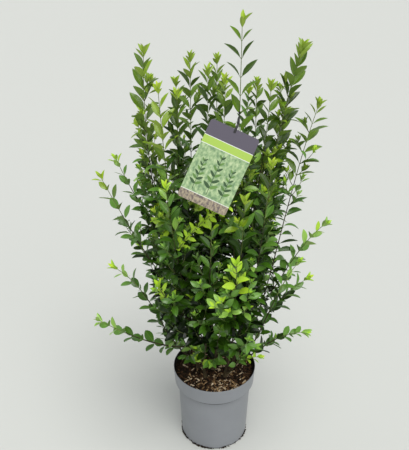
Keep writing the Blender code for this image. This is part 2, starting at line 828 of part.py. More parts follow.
def make_masses(shoots):
    """One solid for each mass: its stem and side shoots first, then the twigs and leaves on each of them."""
    crown = Crown(shoots)
    for order, name in enumerate(n for n, s in shoots.items() if s.mass == n):
        members = [shoot for shoot in shoots.values() if shoot.mass == name]
        mass = Mass(name, crown, random.Random(SEED + order))
        carriers = {}
        for shoot in members:
            count = max(3, round((shoot.length - shoot.bare) / TUBE_STEP))
            stations = stretch(shoot.path, shoot.bare, shoot.length, count)
            radii = [tip_taper(shoot.start_radius, i / count) for i in range(count + 1)]
            if shoot.kind == "side":
                made = tube("side_" + shoot.name, stations, radii, TWIG_SIDES, "leaf", mass.pieces)
            else:
                made = tube("foliage_" + name, stations, radii, TWIG_SIDES, "leaf")
                body = made
            carriers[shoot.name] = mass.remember(made)
        for shoot in members:
            dress_shoot(mass, shoot, carriers[shoot.name])
        fuse(body, mass.pieces)


# Hang tag


def ring_round(name, middle, heading, inner, outer, height, collection):
    """A short round band about an axis, open through its middle."""
    across = heading.orthogonal().normalized()
    beside = heading.cross(across)
    sides = STRAP_LOOP_SIDES
    verts = []
    for lift in (-height / 2.0, height / 2.0):
        for radius in (inner, outer):
            for k in range(sides):
                turn = 2.0 * math.pi * k / sides
                spoke = across * math.cos(turn) + beside * math.sin(turn)
                verts.append(middle + heading * lift + spoke * radius)
    inner_low, outer_low, inner_high, outer_high = (sides * i for i in range(4))
    faces = []
    for k in range(sides):
        n = (k + 1) % sides
        faces.append((outer_low + k, outer_low + n, outer_high + n, outer_high + k))
        faces.append((inner_low + n, inner_low + k, inner_high + k, inner_high + n))
        faces.append((inner_high + k, outer_high + k, outer_high + n, inner_high + n))
        faces.append((inner_low + n, outer_low + n, outer_low + k, inner_low + k))
    return add_object(name, verts, faces, "tag", collection)


def card_outline():
    """Corners of the card in its own plane, from its top centre down, with an arc at each."""
    half = TAG_WIDTH / 2.0 - TAG_CORNER
    top = -TAG_CORNER
    foot = TAG_CORNER - TAG_LENGTH
    outline = []
    for x, y, first in ((half, top, 90.0), (half, foot, 0.0), (-half, foot, 270.0), (-half, top, 180.0)):
        for k in range(TAG_CORNER_STEPS + 1):
            turn = math.radians(first - 90.0 * k / TAG_CORNER_STEPS)
            outline.append((x + TAG_CORNER * math.cos(turn), y + TAG_CORNER * math.sin(turn)))
    return outline


def make_card():
    across, up, out = tag_axes()
    outline = card_outline()
    count = len(outline)
    verts = []
    for lift in (-TAG_THICKNESS / 2.0, TAG_THICKNESS / 2.0):
        for x, y in outline:
            verts.append(Vector(TAG_TOP_CENTRE) + across * x + up * y + out * lift)
    faces = [tuple(range(count)), tuple(reversed(range(count, 2 * count)))]
    for k in range(count):
        n = (k + 1) % count
        faces.append((k, k + count, n + count, n))
    return add_object("tag", verts, faces, "tag")


def make_tag(shoots):
    """The card, and a flat strap that arches back from it to a loop round the stem that carries it."""
    across, up, _ = tag_axes()
    stem = shoots[STRAP_STEM]
    place, top = strap_line(shoots)
    heading = (place_at_height(stem.path, STRAP_HEIGHT + PATH_STEP) - place).normalized()
    inner = radius_at(stem, place) + GAP
    tag = make_card()
    pieces = pieces_of("tag")
    outer = inner + STRAP_LOOP_WALL
    ring_round("strap_loop", place, heading, inner, outer, STRAP_WIDTH, pieces)
    card_end = top - up * STRAP_SUNK
    toward = Vector((card_end.x - place.x, card_end.y - place.y, 0.0)).normalized()
    start = place + toward * (inner + STRAP_LOOP_WALL / 2.0)
    bend = top + up * STRAP_BEND
    middle = start.lerp(bend, 0.5) + Vector((0.0, 0.0, STRAP_ARCH))
    points = [start, middle, bend, top, card_end]
    broad = [Vector((0.0, 0.0, 1.0)), Vector((0.3, 0.0, 1.0)), across, across, across]
    add_strip("strap", points, broad, pieces)
    fuse(tag, pieces)


def radius_at(shoot, place):
    """Radius of a mass's stem where the path passes a place."""
    total = lengths_along(shoot.path)
    nearest = min(range(len(shoot.path)), key=lambda i: (shoot.path[i] - place).length)
    share = (total[nearest] - shoot.bare) / (shoot.length - shoot.bare)
    return tip_taper(shoot.start_radius, share)


def add_strip(name, points, broad, collection):
    """A thin flat strap through points, whose width follows the given directions."""
    verts = []
    for i, point in enumerate(points):
        heading = (points[min(i + 1, len(points) - 1)] - points[max(i - 1, 0)]).normalized()
        wide = (broad[i] - heading * broad[i].dot(heading)).normalized() * STRAP_WIDTH / 2.0
        thick = heading.cross(wide).normalized() * STRAP_THICKNESS / 2.0
        for a, b in ((1, 1), (-1, 1), (-1, -1), (1, -1)):
            verts.append(point + wide * a + thick * b)
    faces = [(3, 2, 1, 0)]
    for i in range(len(points) - 1):
        for k in range(4):
            a = i * 4 + k
            b = i * 4 + (k + 1) % 4
            faces.append((a, b, b + 4, a + 4))
    last = (len(points) - 1) * 4
    faces.append((last, last + 1, last + 2, last + 3))
    return add_object(name, verts, faces, "tag", collection)


def main():
    clear_scene()
    make_pot()
    make_soil()
    shoots = grow_skeleton()
    make_stems(shoots)
    make_boughs(shoots)
    make_masses(shoots)
    make_tag(shoots)


main()
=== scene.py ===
"""The looks of a potted privet shrub: its bark, twigs and leaves, its pot, compost and hang tag."""

import math
import random
from collections import namedtuple
from itertools import product

import bmesh
import bpy
import numpy as np
from mathutils import Matrix, Quaternion, Vector, noise
from mathutils.kdtree import KDTree


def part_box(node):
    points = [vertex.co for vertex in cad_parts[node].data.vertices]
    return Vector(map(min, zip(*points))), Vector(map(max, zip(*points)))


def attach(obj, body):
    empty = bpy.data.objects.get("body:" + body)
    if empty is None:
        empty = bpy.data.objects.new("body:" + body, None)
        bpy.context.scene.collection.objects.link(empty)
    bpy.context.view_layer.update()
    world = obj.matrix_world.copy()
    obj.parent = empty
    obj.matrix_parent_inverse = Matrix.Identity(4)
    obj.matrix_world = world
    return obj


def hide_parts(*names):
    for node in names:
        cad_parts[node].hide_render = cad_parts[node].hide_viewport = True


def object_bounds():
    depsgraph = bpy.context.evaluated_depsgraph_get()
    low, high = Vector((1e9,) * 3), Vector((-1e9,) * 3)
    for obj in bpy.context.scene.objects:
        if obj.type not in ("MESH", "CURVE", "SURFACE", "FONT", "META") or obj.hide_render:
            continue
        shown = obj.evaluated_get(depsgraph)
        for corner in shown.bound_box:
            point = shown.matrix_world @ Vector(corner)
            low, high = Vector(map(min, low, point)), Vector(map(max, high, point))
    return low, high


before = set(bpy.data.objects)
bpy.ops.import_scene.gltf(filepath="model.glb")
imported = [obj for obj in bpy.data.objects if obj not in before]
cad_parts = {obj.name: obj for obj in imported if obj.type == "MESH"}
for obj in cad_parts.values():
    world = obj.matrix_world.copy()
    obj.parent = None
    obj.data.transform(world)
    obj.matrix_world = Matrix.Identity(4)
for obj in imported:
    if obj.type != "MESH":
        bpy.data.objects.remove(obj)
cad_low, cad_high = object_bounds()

SEED = 42
WOOD_SEED = SEED + 100
CHIP_SEED = SEED + 300
CRUMB_SEED = SEED + 400
RIGHT = np.array((1.0, 0.0, 0.0))
BACK = np.array((0.0, 1.0, 0.0))
UP = np.array((0.0, 0.0, 1.0))

# Camera, which looks down on the plant from 1.4 metres up
PICTURE_WIDTH = 409.0
PICTURE_HEIGHT = 450.0
FOCAL_PIXELS = 680.0
SENSOR_WIDTH = 36.0
CAMERA_PLACE = (-0.0264, -1.4070, 1.4193)
CAMERA_PITCH = 28.893

# Pot, in metres, with its height and rim taken from the frame
POT_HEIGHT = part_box("pot")[1].z
POT_RIM_RADIUS = 0.1085
POT_BAND_FOOT_RADIUS = 0.1052
POT_BAND_HEIGHT = 0.0455
POT_SHOULDER = 0.004
POT_WALL_TOP_RADIUS = 0.0962
POT_FOOT_RADIUS = 0.0885
POT_WALL = 0.0022
POT_FLOOR = 0.004
POT_LIP = 0.0014
POT_FOLD = 0.0026
# Depth of the painted shade on the wall under the band, and height of the painted shade round the foot
POT_SHADE_UNDER_BAND = 0.0045
POT_FOOT_SHADE_HEIGHT = 0.0030
POT_FOOT_ROUND = 0.002
POT_SHARP = 40.0
POT_SIDES = 144
DRAINS = 8
DRAIN_WIDTH = 0.024
DRAIN_HEIGHT = 0.0055
DRAIN_DEPTH = 0.016
DRAIN_OUTSIDE = 0.008
DRAIN_ROUND = 0.0012
BAND_FOOT = POT_HEIGHT - POT_BAND_HEIGHT
WALL_TOP = BAND_FOOT - POT_SHOULDER

# Compost
SOIL_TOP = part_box("soil")[1].z
SOIL_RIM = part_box("soil")[1].x
SOIL_RELIEF = 0.0035
SOIL_SKIRT = 0.030
SOIL_RINGS = 46
SOIL_SPOKES = 150
SOIL_SHARP = 60.0
MOUND_FINENESS = 22.0
LUMP_FINENESS = 90.0
CRUMB_FINENESS = 260.0
SOIL_EVEN = 0.35

# Loose chips on it: piece, kinds, how many, and the least and most of length, width and thickness
CHIPS = (
    ("bark_crumbs", ("bark_crumb", "bark_brown", "bark_red"), 1500,
     ((0.003, 0.009), (0.0018, 0.0050), (0.0010, 0.0026))),
    ("wood_chips", ("wood_chip", "wood_chip_pale", "wood_chip_old"), 190,
     ((0.006, 0.024), (0.0020, 0.0050), (0.0008, 0.0018))),
)
CHIP_KINDS = (0, 0, 1, 1, 2)
CHIP_RIM = SOIL_RIM - 0.006
CHIP_BEYOND = 0.0045
CHIP_RISE = 0.0008
CHIP_TILT = 0.35
CHIP_TURN = 35.0
CHIP_TAPER = (0.55, 1.0)
CHIP_SPREAD = (0.8, 1.2)
CHIP_SHARP = 20.0
CHIP_FACES = [(0, 1, 3, 2), (4, 6, 7, 5), (0, 4, 5, 1), (2, 3, 7, 6), (0, 2, 6, 4), (1, 5, 7, 3)]
PALE_CHIPS_X = 0.012
PALE_CHIPS_HALF = 0.062
PALE_CHIPS_POWER = 1.8
FOOT_CRUMBS = 270
FOOT_CRUMB_SIZES = ((0.0022, 0.0056), (0.0016, 0.0034), (0.0010, 0.0022))
FOOT_CRUMB_TILT = 0.8
FOOT_CRUMB_RISE = 0.0019
FOOT_CRUMB_REACH = (-0.0006, 0.0014)
FOOT_NOTCHES = (0, 1, 2, 3, 4, 4, 4, 5, 5, 5, 5, 6, 7)
FOOT_CRUMB_SPREAD = 9.0

# The skeleton, with the sizes that the solids have. Two of its small shoots take their own course
GAP = 0.0003
STEM_LENGTH = 0.075
STUB_LENGTH = 0.018
BOUGH_LENGTH = 0.055
STEM_FOOT_RADIUS = 0.0042
STEM_TOP_RADIUS = 0.0030
FLARE = 0.8
FLARE_HEIGHT = 0.007
BOUGH_RADIUS = 0.0026
FOLIAGE_STEM_RADIUS = 0.0021
SIDE_SHOOT_RADIUS = 0.0016
TIP_RADIUS = 0.0006
TWIG_RADIUS = 0.0010
TAPER_POWER = 0.8
PATH_STEP = 0.004
FOOT_PULL = 0.36
FORK_PULL = 0.13
LOW_PULL = 0.30
TIP_PULL = 0.36
TIP_CLUSTER = 0.024
TIP_BEYOND_WOOD = 0.8 * TIP_CLUSTER
TIP_SCALES = {"right": 1.45, "left": 1.25, "front_right": 1.25, "centre": 1.15, "mid": 1.1}
CELL_RADIUS = 0.085
BOUGH_SPACE = GAP + BOUGH_LENGTH + GAP
FORK_SWELL = 1.1

# For each kind of shoot: how far its foot's direction carries, bare length and radius where leaves begin
KINDS = {
    "leader": (FOOT_PULL, STEM_LENGTH + BOUGH_SPACE, FOLIAGE_STEM_RADIUS),
    "bough": (FORK_PULL, STUB_LENGTH + BOUGH_SPACE, FOLIAGE_STEM_RADIUS),
    "low": (LOW_PULL, STUB_LENGTH + GAP, BOUGH_RADIUS),
    "side": (FORK_PULL, 0.0, SIDE_SHOOT_RADIUS),
}

# Bark: sides, step along, depth of the ridges, finish number, distance of old leaf joints, and the share of
# the length beyond which it is green
STEM_BARK = (14, 0.0015, 0.05, 0, 0.031, 1.1)
FORK_BARK = (12, 0.0015, 0.05, 0, 0.027, 1.1)
SHOOT_BARK = (7, 0.006, 0.03, 1, 0.0, 0.72)
TWIG_SIDES = 5
TWIG_GREEN_FROM = 0.35
GREEN = 2
BARK_SHARP = 50.0
BARK_RIDGES = ((3, 0.021), (5, 0.013), (7, 0.008))
RIDGE_DRIFT = 0.9
ROUND = 6.28
PORE_GAP = 0.004
PORE_RISE = 0.10
PORE_LENGTH = 0.0011
PORE_HALF = 0.35
JOINT_RISE = 0.16
JOINT_LENGTH = 0.0016

# Where each stem leaves the compost: reach from the pot's axis in metres, direction in degrees.
# A direction of 0 is the shrub's right, and 90 is its back
FEET = {
    "centre": (0.004, 160.0),
    "front_right": (0.040, -44.0),
    "right": (0.047, 8.0),
    "back": (0.038, 84.0),
    "left": (0.043, 172.0),
    "front_left": (0.038, -128.0),
}

# Shoots that rise from their own foot: tip height, reach and direction, spread at the foot, lean at the tip
LEADERS = {
    "centre": (1.020, 0.036, 122.0, 3.0, 0.0),
    "front_right": (1.150, 0.092, -60.0, 7.0, 0.0),
    "right": (1.077, 0.176, 0.0, 10.0, 14.0),
    "back": (1.016, 0.140, 89.0, 10.0, 2.0),
    "left": (1.066, 0.156, 173.0, 13.0, -3.0),
    "front_left": (1.010, 0.135, -154.0, 12.0, 3.0),
}

# Shoots that fork from a stem: which stem, fork height over the compost, then the same five sizes
BOUGHS = {
    "front": ("front_right", 0.034, 0.800, 0.161, -69.0, 46.0, 4.0),
    "right_outer": ("right", 0.046, 0.962, 0.222, -5.0, 50.0, 15.0),
    "right_rear": ("right", 0.022, 0.900, 0.205, 36.0, 48.0, 7.0),
    "back_left": ("back", 0.040, 0.955, 0.190, 120.0, 50.0, 4.0),
    "left_back": ("left", 0.048, 1.036, 0.099, 126.0, 42.0, 0.0),
    "front_mid": ("front_left", 0.038, 0.775, 0.160, -94.0, 46.0, 4.0),
}

# Low shoots with leaves nearly from their foot, in the same terms
LOW_SHOOTS = {
    "low_left": ("front_left", 0.110, 0.431, 0.306, -165.0, 98.0, 52.0),
    "low_right": ("right", 0.010, 0.345, 0.249, -6.0, 62.0, 86.0),
    "low_front_left": ("front_left", 0.012, 0.372, 0.132, -112.0, 40.0, 55.0),
    "low_front_right": ("front_right", 0.012, 0.381, 0.160, -50.0, 52.0, 50.0),
    "low_front": ("centre", 0.016, 0.470, 0.160, -86.0, 44.0, 34.0),
    "low_rear_right": ("back", 0.026, 0.450, 0.225, 46.0, 54.0, 48.0),
    "low_back": ("back", 0.014, 0.480, 0.240, 96.0, 52.0, 45.0),
    "low_left_back": ("left", 0.012, 0.520, 0.245, 146.0, 50.0, 40.0),
    "side_left": ("left", 0.026, 0.560, 0.258, -171.0, 55.0, 50.0),
    "side_front_right": ("front_right", 0.022, 0.601, 0.213, -22.0, 50.0, 30.0),
}

# Side shoots that spring from another shoot and belong to its mass: which shoot, the height over the compost
# where they leave it, then tip height, reach and direction, spread and lean
SIDE_SHOOTS = {
    "mid": ("centre", 0.360, 1.016, 0.026, -50.0, 36.0, 0.0),
    "right_inner": ("front_right", 0.330, 1.006, 0.117, -15.0, 38.0, 2.0),
    "right_back": ("right", 0.330, 0.974, 0.137, 47.0, 38.0, 3.0),
    "back_right": ("back", 0.240, 0.930, 0.200, 66.0, 40.0, 5.0),
    "left_rear": ("left_back", 0.200, 0.900, 0.205, 148.0, 40.0, 5.0),
    "left_inner": ("front_left", 0.360, 0.990, 0.090, -158.0, 30.0, -2.0),
    "arch_left_high": ("left", 0.400, 0.829, 0.231, 180.0, 42.0, 20.0),
    "arch_left": ("left", 0.240, 0.803, 0.266, -171.0, 46.0, 22.0),
    "arch_right": ("right_outer", 0.220, 0.673, 0.267, -6.0, 52.0, 44.0),
    "side_right": ("right_outer", 0.130, 0.521, 0.238, -7.0, 54.0, 50.0),
    "front_right_outer": ("front", 0.160, 0.866, 0.164, -46.0, 44.0, 4.0),
    "lime_front": ("front", 0.230, 0.675, 0.205, -78.0, 40.0, 14.0),
    "front_left_outer": ("front_mid", 0.165, 0.820, 0.168, -130.0, 44.0, 5.0),
    "lime_front_left": ("front_left_outer", 0.225, 0.596, 0.212, -128.0, 44.0, 20.0),
}

# Small sprays over the compost in front, and one high in the crown: the mass and shoot that bear them, the
# height over the compost where they leave it, the place of the tip, leaf length and colour number
LOW_SPRAYS = (
    ("low_front_left", "low_front_left", 0.060, (-0.038, -0.066, 0.296), 0.038, 4.8),
    ("low_front_left", "front_left", 0.070, (-0.074, -0.086, 0.315), 0.034, 1.6),
    ("low_front", "low_front", 0.070, (-0.006, -0.074, 0.288), 0.044, 2.6),
    ("low_front", "low_front", 0.100, (0.026, -0.074, 0.312), 0.036, 2.3),
    ("low_front_right", "low_front_right", 0.060, (0.064, -0.078, 0.308), 0.030, 2.3),
    ("low_front_right", "low_front_right", 0.075, (0.112, -0.066, 0.300), 0.024, 4.3),
    ("low_front_left", "low_front_left", 0.110, (-0.146, -0.084, 0.374), 0.028, 3.6),
    ("front_mid", "front_left_outer", 0.437, (0.030, -0.180, 0.794), 0.022, 4.7),
)
LOW_SPRAY_STEPS = 12
LOW_SPRAY_ARCH = 0.16
LOW_SPRAY_GAP = 0.62
LOW_SPRAY_FIRST_PAIR = 0.012
LOW_SPRAY_LAST_PAIR = 0.006
LOW_SPRAY_YOUNG = 0.5
LOW_SPRAY_SHAPE = (0.46, 52.0, 18.0, 16.0, 0.8)
LOW_SPRAY_TIP = 0.8
LOW_SPRAY_TIP_YOUNG = 0.6

# How each kind of shoot bears its leaves: pair gap, leaf length, width as a share of it, angle from the
# shoot, fold of the halves, backward bend, and how far the faces turn outwards
HABITS = {
    "leader": (0.0255, 0.051, 0.37, 44.0, 30.0, 14.0, 0.35),
    "bough": (0.0250, 0.049, 0.37, 44.0, 30.0, 16.0, 0.45),
    "side": (0.0235, 0.045, 0.39, 45.0, 27.0, 16.0, 0.50),
    "low": (0.0195, 0.032, 0.52, 54.0, 18.0, 14.0, 0.85),
    "twig": (0.0205, 0.037, 0.43, 48.0, 24.0, 28.0, 0.70),
}

# Shoots whose habit is their own: the tallest leader is slender, and the arching ones bear round leaves
OWN_HABITS = {
    "front_right": (0.0370, 0.047, 0.36, 35.0, 28.0, 22.0, 0.35),
    "right": (0.0230, 0.052, 0.40, 40.0, 28.0, 12.0, 0.35),
    "left": (0.0250, 0.053, 0.37, 44.0, 30.0, 14.0, 0.35),
    "right_outer": (0.0270, 0.047, 0.37, 48.0, 28.0, 26.0, 0.40),
    "front_mid": (0.0280, 0.038, 0.38, 42.0, 26.0, 16.0, 0.60),
    "arch_left": (0.0300, 0.039, 0.52, 46.0, 18.0, 12.0, 0.80),
    "arch_left_high": (0.0270, 0.034, 0.46, 44.0, 18.0, 12.0, 0.80),
    "arch_right": (0.0250, 0.038, 0.52, 44.0, 16.0, 18.0, 0.80),
    "side_front_right": (0.0260, 0.035, 0.48, 48.0, 18.0, 18.0, 0.80),
    "low_rear_right": (0.0250, 0.034, 0.48, 48.0, 18.0, 18.0, 0.80),
    "side_left": (0.0235, 0.037, 0.52, 50.0, 16.0, 12.0, 0.90),
    "low_left": (0.0265, 0.038, 0.58, 46.0, 16.0, 16.0, 0.60),
    "low_right": (0.0200, 0.035, 0.56, 42.0, 16.0, 12.0, 0.70),
    "lime_front": (0.0250, 0.042, 0.40, 55.0, 26.0, 34.0, 0.80),
    "lime_front_left": (0.0230, 0.040, 0.46, 50.0, 20.0, 20.0, 0.90),
}

# Shoots whose upper pairs lie side by side, nearly in one plane, and from which share of their length on
LEVEL_SHOOTS = {"front_right": 0.50, "right_outer": 0.20}
LEVEL_SPREAD = 24.0

# Leaves
FIRST_PAIR = 0.016
SIDE_FIRST_PAIR = 0.030
LAST_PAIR = 0.020
GAP_AT_TIP = 0.65
GAP_SHRINK = 0.10
TIP_SHARE = 0.50
TIP_SHRINK = 0.15
FIRST_PHASE = 45.0
PHASE_SPREAD = 14.0
SIZE_SPREAD = 0.10
ANGLE_SPREAD = 7.0
ROLL_SPREAD = 12.0
PAIR_SKEW = 0.14
LOOSE_START = 0.4
LOOSE_GAIN = 1.9
SPREAD_NEAR_TIP = 0.76
SPREAD_LOWER = 1.30
BEND_NEAR_TIP = 0.5
BEND_LOWER = 2.2
SPREAD_LENGTH = 0.38
# How much the width, fold and bend of leaves vary
SHAPE_SPREADS = ((0.9, 1.1), (0.5, 1.3), (0.2, 1.9))
GAP_SPREAD = (0.9, 1.1)
# On shoots that lie flat the pairs turn level and face up: the rise where that begins, its range and least
FLAT_BELOW = 0.30
FLAT_RANGE = 0.45
FLAT_LEAST = 0.25
FLAT_FACING = 1.2
UP_FACING = 0.45
TIP_YELLOW_CHANCE = 0.55
TIP_WIDTH = 0.36
TIP_FOLD_BEND_FACING = (34.0, 10.0, 0.1)
TIP_WOOD = 0.0004
# The pairs that close up round a bud: place, size, angle, and whether they are a colour number younger
TIP_PAIRS = ((-0.40, 1.10, 35.0, 0), (-0.16, 0.95, 26.0, 0), (0.04, 0.75, 17.0, 1), (0.18, 0.55, 8.0, 1))
LEAF_STATIONS = (0.0, 0.09, 0.18, 0.33, 0.53, 0.74, 0.91, 1.0)
PETIOLE_SHARE = 0.09
PETIOLE_HALF = 0.018
RIB_HALF = 0.026
RIB_TAPER = 0.7
RIB_LIFT = 0.004
LEAF_THICK = 0.012
THICK_TAPER = 0.6
LEAF_SHARP = 28.0
LEAF_SPACING = 0.0075
LEAF_OVERLAP = 0.030
BOX_MARGIN = 0.004
TAKEN_CELL = 0.01

# Twigs in the axils. Some shoots are set with them more thinly or thickly than the rest
TWIG_SHARES = dict(
    left=1.15, left_rear=1.1, front_left=0.85, left_back=0.7, front_left_outer=1.5, right=1.5,
    right_outer=0.18, arch_right=0.25, right_rear=0.7, back_right=0.6, side_right=0.2, side_front_right=0.2,
    front_right_outer=0.75, low_rear_right=0.3, right_back=1.1, low_right=0.3, low_left=0.2,
    low_front_left=0.7, low_front_right=0.7, low_left_back=0.35, side_left=0.15, front=0.8, arch_left=0.6,
    arch_left_high=0.6,
)
# The share of a shoot's leafy length that is dense with twigs
DENSE_SHARE = 0.60
DENSE_SHARES = dict(
    right=0.63, left=0.62, right_rear=0.76, arch_left=0.50, arch_left_high=0.34, arch_right=0.34,
    side_left=0.34, side_right=0.34, low_left=0.34, low_right=0.34, side_front_right=0.34,
)
TUFT_SHARE = 0.90
TWIG_CHANCE = 0.66
TUFT_CHANCE = 0.14
OWN_TUFT_CHANCES = dict(front_right=0.0, left=0.60, right=0.50, right_outer=0.50, right_rear=0.70)
LOW_TWIG_CHANCE = 0.50
LOW_TWIGS_END = 0.5
LOW_TWIG_LENGTH = 0.6
TWIG_LONGEST = 0.125
TWIG_SHORTEST = 0.062
TWIG_SPREAD = (0.60, 1.15)
TUFT_LENGTHS = (0.020, 0.050)
TWIG_TRIES = (1.0, 0.7, 0.45)
TWIG_STEP = 0.008
TWIG_SWAY = 25.0
TWIG_GAP_SPREAD = (0.9, 1.15)
TWIG_LEAF_SPREAD = (0.85, 1.15)
TWIG_TIP_SPREAD = (0.8, 1.2)
TWIG_LAST_PAIR = 0.012
TWIG_TIP = 0.018
TWIG_END_RADIUS = 0.8 * TIP_RADIUS
TWIG_OVERLAP = 0.016
TWIG_FIRST = (0.74, 0.67, 0.0)
TWIG_LAST = (0.34, 0.70, 0.50)
SUB_TWIG_CHANCE = 0.35
SUB_TWIG_LENGTH = 0.040
SUB_TWIG_FROM = 0.085
SUB_TWIG_NODES = (2, 3)
SUB_TWIG_THIN = 0.7

# Places that leaves and twigs keep clear of
FRONT_CLEAR_X = 0.005
FRONT_CLEAR_FALL = 4.0
FRONT_CLEAR_HEIGHT = 0.262
FRONT_CLEAR_SLOPE = 0.80
FRONT_CLEAR_HALF = 0.105
FRONT_CLEAR_FADE = 0.60
FRONT_CLEAR_SPREAD = 0.014
RIM_INSIDE_CLEAR = 0.006
RIM_OUTSIDE_CLEAR = 0.002
RIM_OVER_CLEAR = 0.003
SOIL_CLEAR = 0.004
TAG_CLEAR = 0.004
TAG_FRONT_CLEAR = 0.30

# Hang tag
TAG_WIDTH = 0.106
TAG_LENGTH = 0.168
TAG_THICKNESS = 0.0009
TAG_CORNER = 0.006
TAG_TURN = 24.5
TAG_LEAN = 20.0
TAG_TOP_CENTRE = np.array((0.036, -0.134, 0.934))
INK_LOW = 0.00001
INK_RISE = 0.00012
SPRIG_ROWS = 6
SPRIG_POINTS = 14
SPRIG_HALF = 0.0006
SPRIG_FIRST_ROW = 0.18
SPRIG_ROWS_SHARE = 0.74
SPRIG_SHRINK = 0.45
SPRIG_ANGLE = 58.0
SPRIG_ANGLE_FALL = 20.0
SPRIG_LEAF_HALF = 0.19
SPRIG_LEAF_SKEW = 0.25
TAG_SHARP = 30.0
STRAP_SIDES = 32
STRAP_STEPS = 32
# Each sprig of the print: its middle, foot and height on the card, and its longest leaf
SPRIGS = ((-0.031, -0.144, 0.066, 0.015), (0.0, -0.144, 0.084, 0.018), (0.031, -0.144, 0.066, 0.015))
STRAP_WIDTH = 0.005
STRAP_THICKNESS = 0.0007
STRAP_HEIGHT = 0.948
STRAP_LOOP_WALL = 0.0010
STRAP_SUNK = 0.008
STRAP_ARCH = 0.003
STRAP_BEND = 0.010
STRAP_BLACK = (24, 24, 26)
STRAP_STEM = "front_right"

# Young leaves: how far back from a tip they reach, and how much lighter they get on shoots and on twigs
YOUNG_LENGTH = 0.034
SHOOT_YOUNG = 2.4
TWIG_YOUNG = 1.3
LIME_SHOOTS = {"lime_front": 0.115, "lime_front_left": 0.090, "front_mid": 0.060}
LIME_SPRAY = 4.6
LIME_TWIG_CHANCE = 0.02
BRIGHT_CHANCE = 0.30
BRIGHT_GAIN = 3.0
BRIGHT_FALL = 0.5
BRIGHT_FALL_HEIGHT = 0.7
SPRAY_LIGHTEST = 3.2
COLOUR_SPREAD = 0.90
LEAF_COLOUR_SPREAD = 0.35
SHOOT_DRIFT = 0.35
SPRAY_PART = 0.4
# Colour numbers by height share, and their change with depth in the crown: lighter outside, darker within and
# low down, partly the older leaves' own colour and partly painted light and shade
HEIGHTS = (0.0, 0.25, 0.45, 0.65, 0.85)
SPRAY_BASES = (0.80, 1.05, 1.85, 2.2, 2.4)
SHOOT_BASES = (1.6, 1.85, 2.1, 2.3, 2.35)
DEPTH_GAIN = 2.5
DEPTH_EVEN = 0.80
DEPTH_MOST = 1.12
CROWN_FOOT_RADIUS = 0.10
CROWN_SWELL = 0.15
CROWN_POWER = 0.7
# How much lighter than usual the leaves of some shoots are, in colour numbers
SHOOT_TINTS = dict(
    centre=0.5, mid=0.5, front_left=0.4, left_back=0.3, left=0.3, left_rear=0.3, arch_left=0.3, right=-0.2,
    right_rear=-0.2, low_left=0.5, side_left=0.6, low_left_back=0.5, low_front_left=0.3, low_right=0.4,
    side_front_right=0.5, low_rear_right=0.5,
)

# Leaf colours on a screen, from the oldest to the youngest: upper face, underside, midrib. The deep and dark
# ones hold painted shade as well as the old leaves' colour: they are darker than old leaves, for the shade
# deep in the crown
LEAF_COLOURS = {
    "deep": ((12, 27, 2), (26, 42, 10), (30, 50, 8)),
    "dark": ((36, 64, 7), (60, 88, 30), (64, 96, 24)),
    "green": ((66, 108, 24), (96, 130, 56), (100, 140, 50)),
    "mid": ((98, 144, 52), (122, 154, 86), (134, 168, 82)),
    "fresh": ((146, 190, 80), (158, 188, 106), (170, 200, 108)),
    "lime": ((172, 212, 48), (172, 208, 78), (190, 219, 92)),
    "tip": ((192, 219, 52), (188, 213, 88), (205, 224, 102)),
    "sun_dark": ((56, 84, 9), (84, 112, 38), (88, 116, 26)),
    "sun_mid": ((95, 129, 24), (116, 145, 60), (128, 157, 52)),
    "sun_fresh": ((136, 167, 38), (152, 178, 74), (164, 190, 68)),
    "sun_lime": ((162, 194, 42), (172, 198, 74), (188, 208, 86)),
    "sun_tip": ((192, 214, 62), (194, 212, 88), (208, 222, 106)),
}
# Colour numbers from old to young leaves, low in the crown and high in it
LEAF_LADDERS = (
    ("deep", "dark", "green", "mid", "fresh", "lime", "tip"),
    ("deep", "dark", "sun_dark", "sun_mid", "sun_fresh", "sun_lime", "sun_tip"),
)
LADDER_CHANGE = (0.52, 0.74)
LEAF_KINDS = list(LEAF_COLOURS)
LEAF_GLOSS = 0.55
OLD_LEAF_GLOSS = {"deep": 0.18, "dark": 0.28}
LEAF_ROUGHNESS = 0.30
YOUNG_ROUGHNESS = 0.42
YOUNGEST = len(LEAF_LADDERS[0]) - 1

# Finishes: colours on a screen at shares of the mottling, roughness, scales of the mottling and of the fine
# relief, the relief's strength and depth in metres, gloss, and the stretch along each axis
BARK_STRETCH = (1.0, 1.0, 0.25)
MOTTLING_DETAIL = 5.0
RELIEF_DETAIL = 6.0
FINISHES = {
    "bark_old": (((0.30, (42, 36, 25)), (0.50, (68, 58, 40)), (0.72, (98, 86, 62))),
                 0.82, 90.0, 520.0, 0.5, 0.0008, 0.25, BARK_STRETCH),
    "bark_young": (((0.32, (48, 44, 26)), (0.68, (74, 68, 42))),
                   0.70, 90.0, 520.0, 0.3, 0.0004, 0.3, BARK_STRETCH),
    "bark_green": (((0.32, (88, 100, 46)), (0.68, (118, 130, 70))),
                   0.60, 90.0, 520.0, 0.2, 0.0003, 0.35, BARK_STRETCH),
    "pot_grey": (((0.30, (134, 137, 142)), (0.70, (139, 142, 147))), 0.40, 14.0, 420.0, 0.08, 0.0002, 0.4),
    "pot_black": (((0.30, (22, 22, 22)), (0.70, (34, 32, 30))), 0.42, 60.0, 300.0, 0.15, 0.0003, 0.5),
    # Painted shade: a darker grey for the shadow under the band's overhang and round the pot's foot
    "pot_crease": (((0.30, (72, 74, 78)), (0.70, (86, 88, 92))), 0.6, 60.0, 420.0, 0.08, 0.0002, 0.3),
    "compost": (((0.32, (15, 11, 8)), (0.5, (32, 25, 17)), (0.68, (56, 43, 29))),
                0.92, 160.0, 700.0, 0.7, 0.0012, 0.2),
    "ink_dark": (((0.3, (44, 74, 40)), (0.7, (58, 92, 50))), 0.4, 60.0, 300.0, 0.05, 0.0001, 0.5),
    "ink_light": (((0.3, (84, 122, 58)), (0.7, (106, 146, 70))), 0.4, 60.0, 300.0, 0.05, 0.0001, 0.5),
}
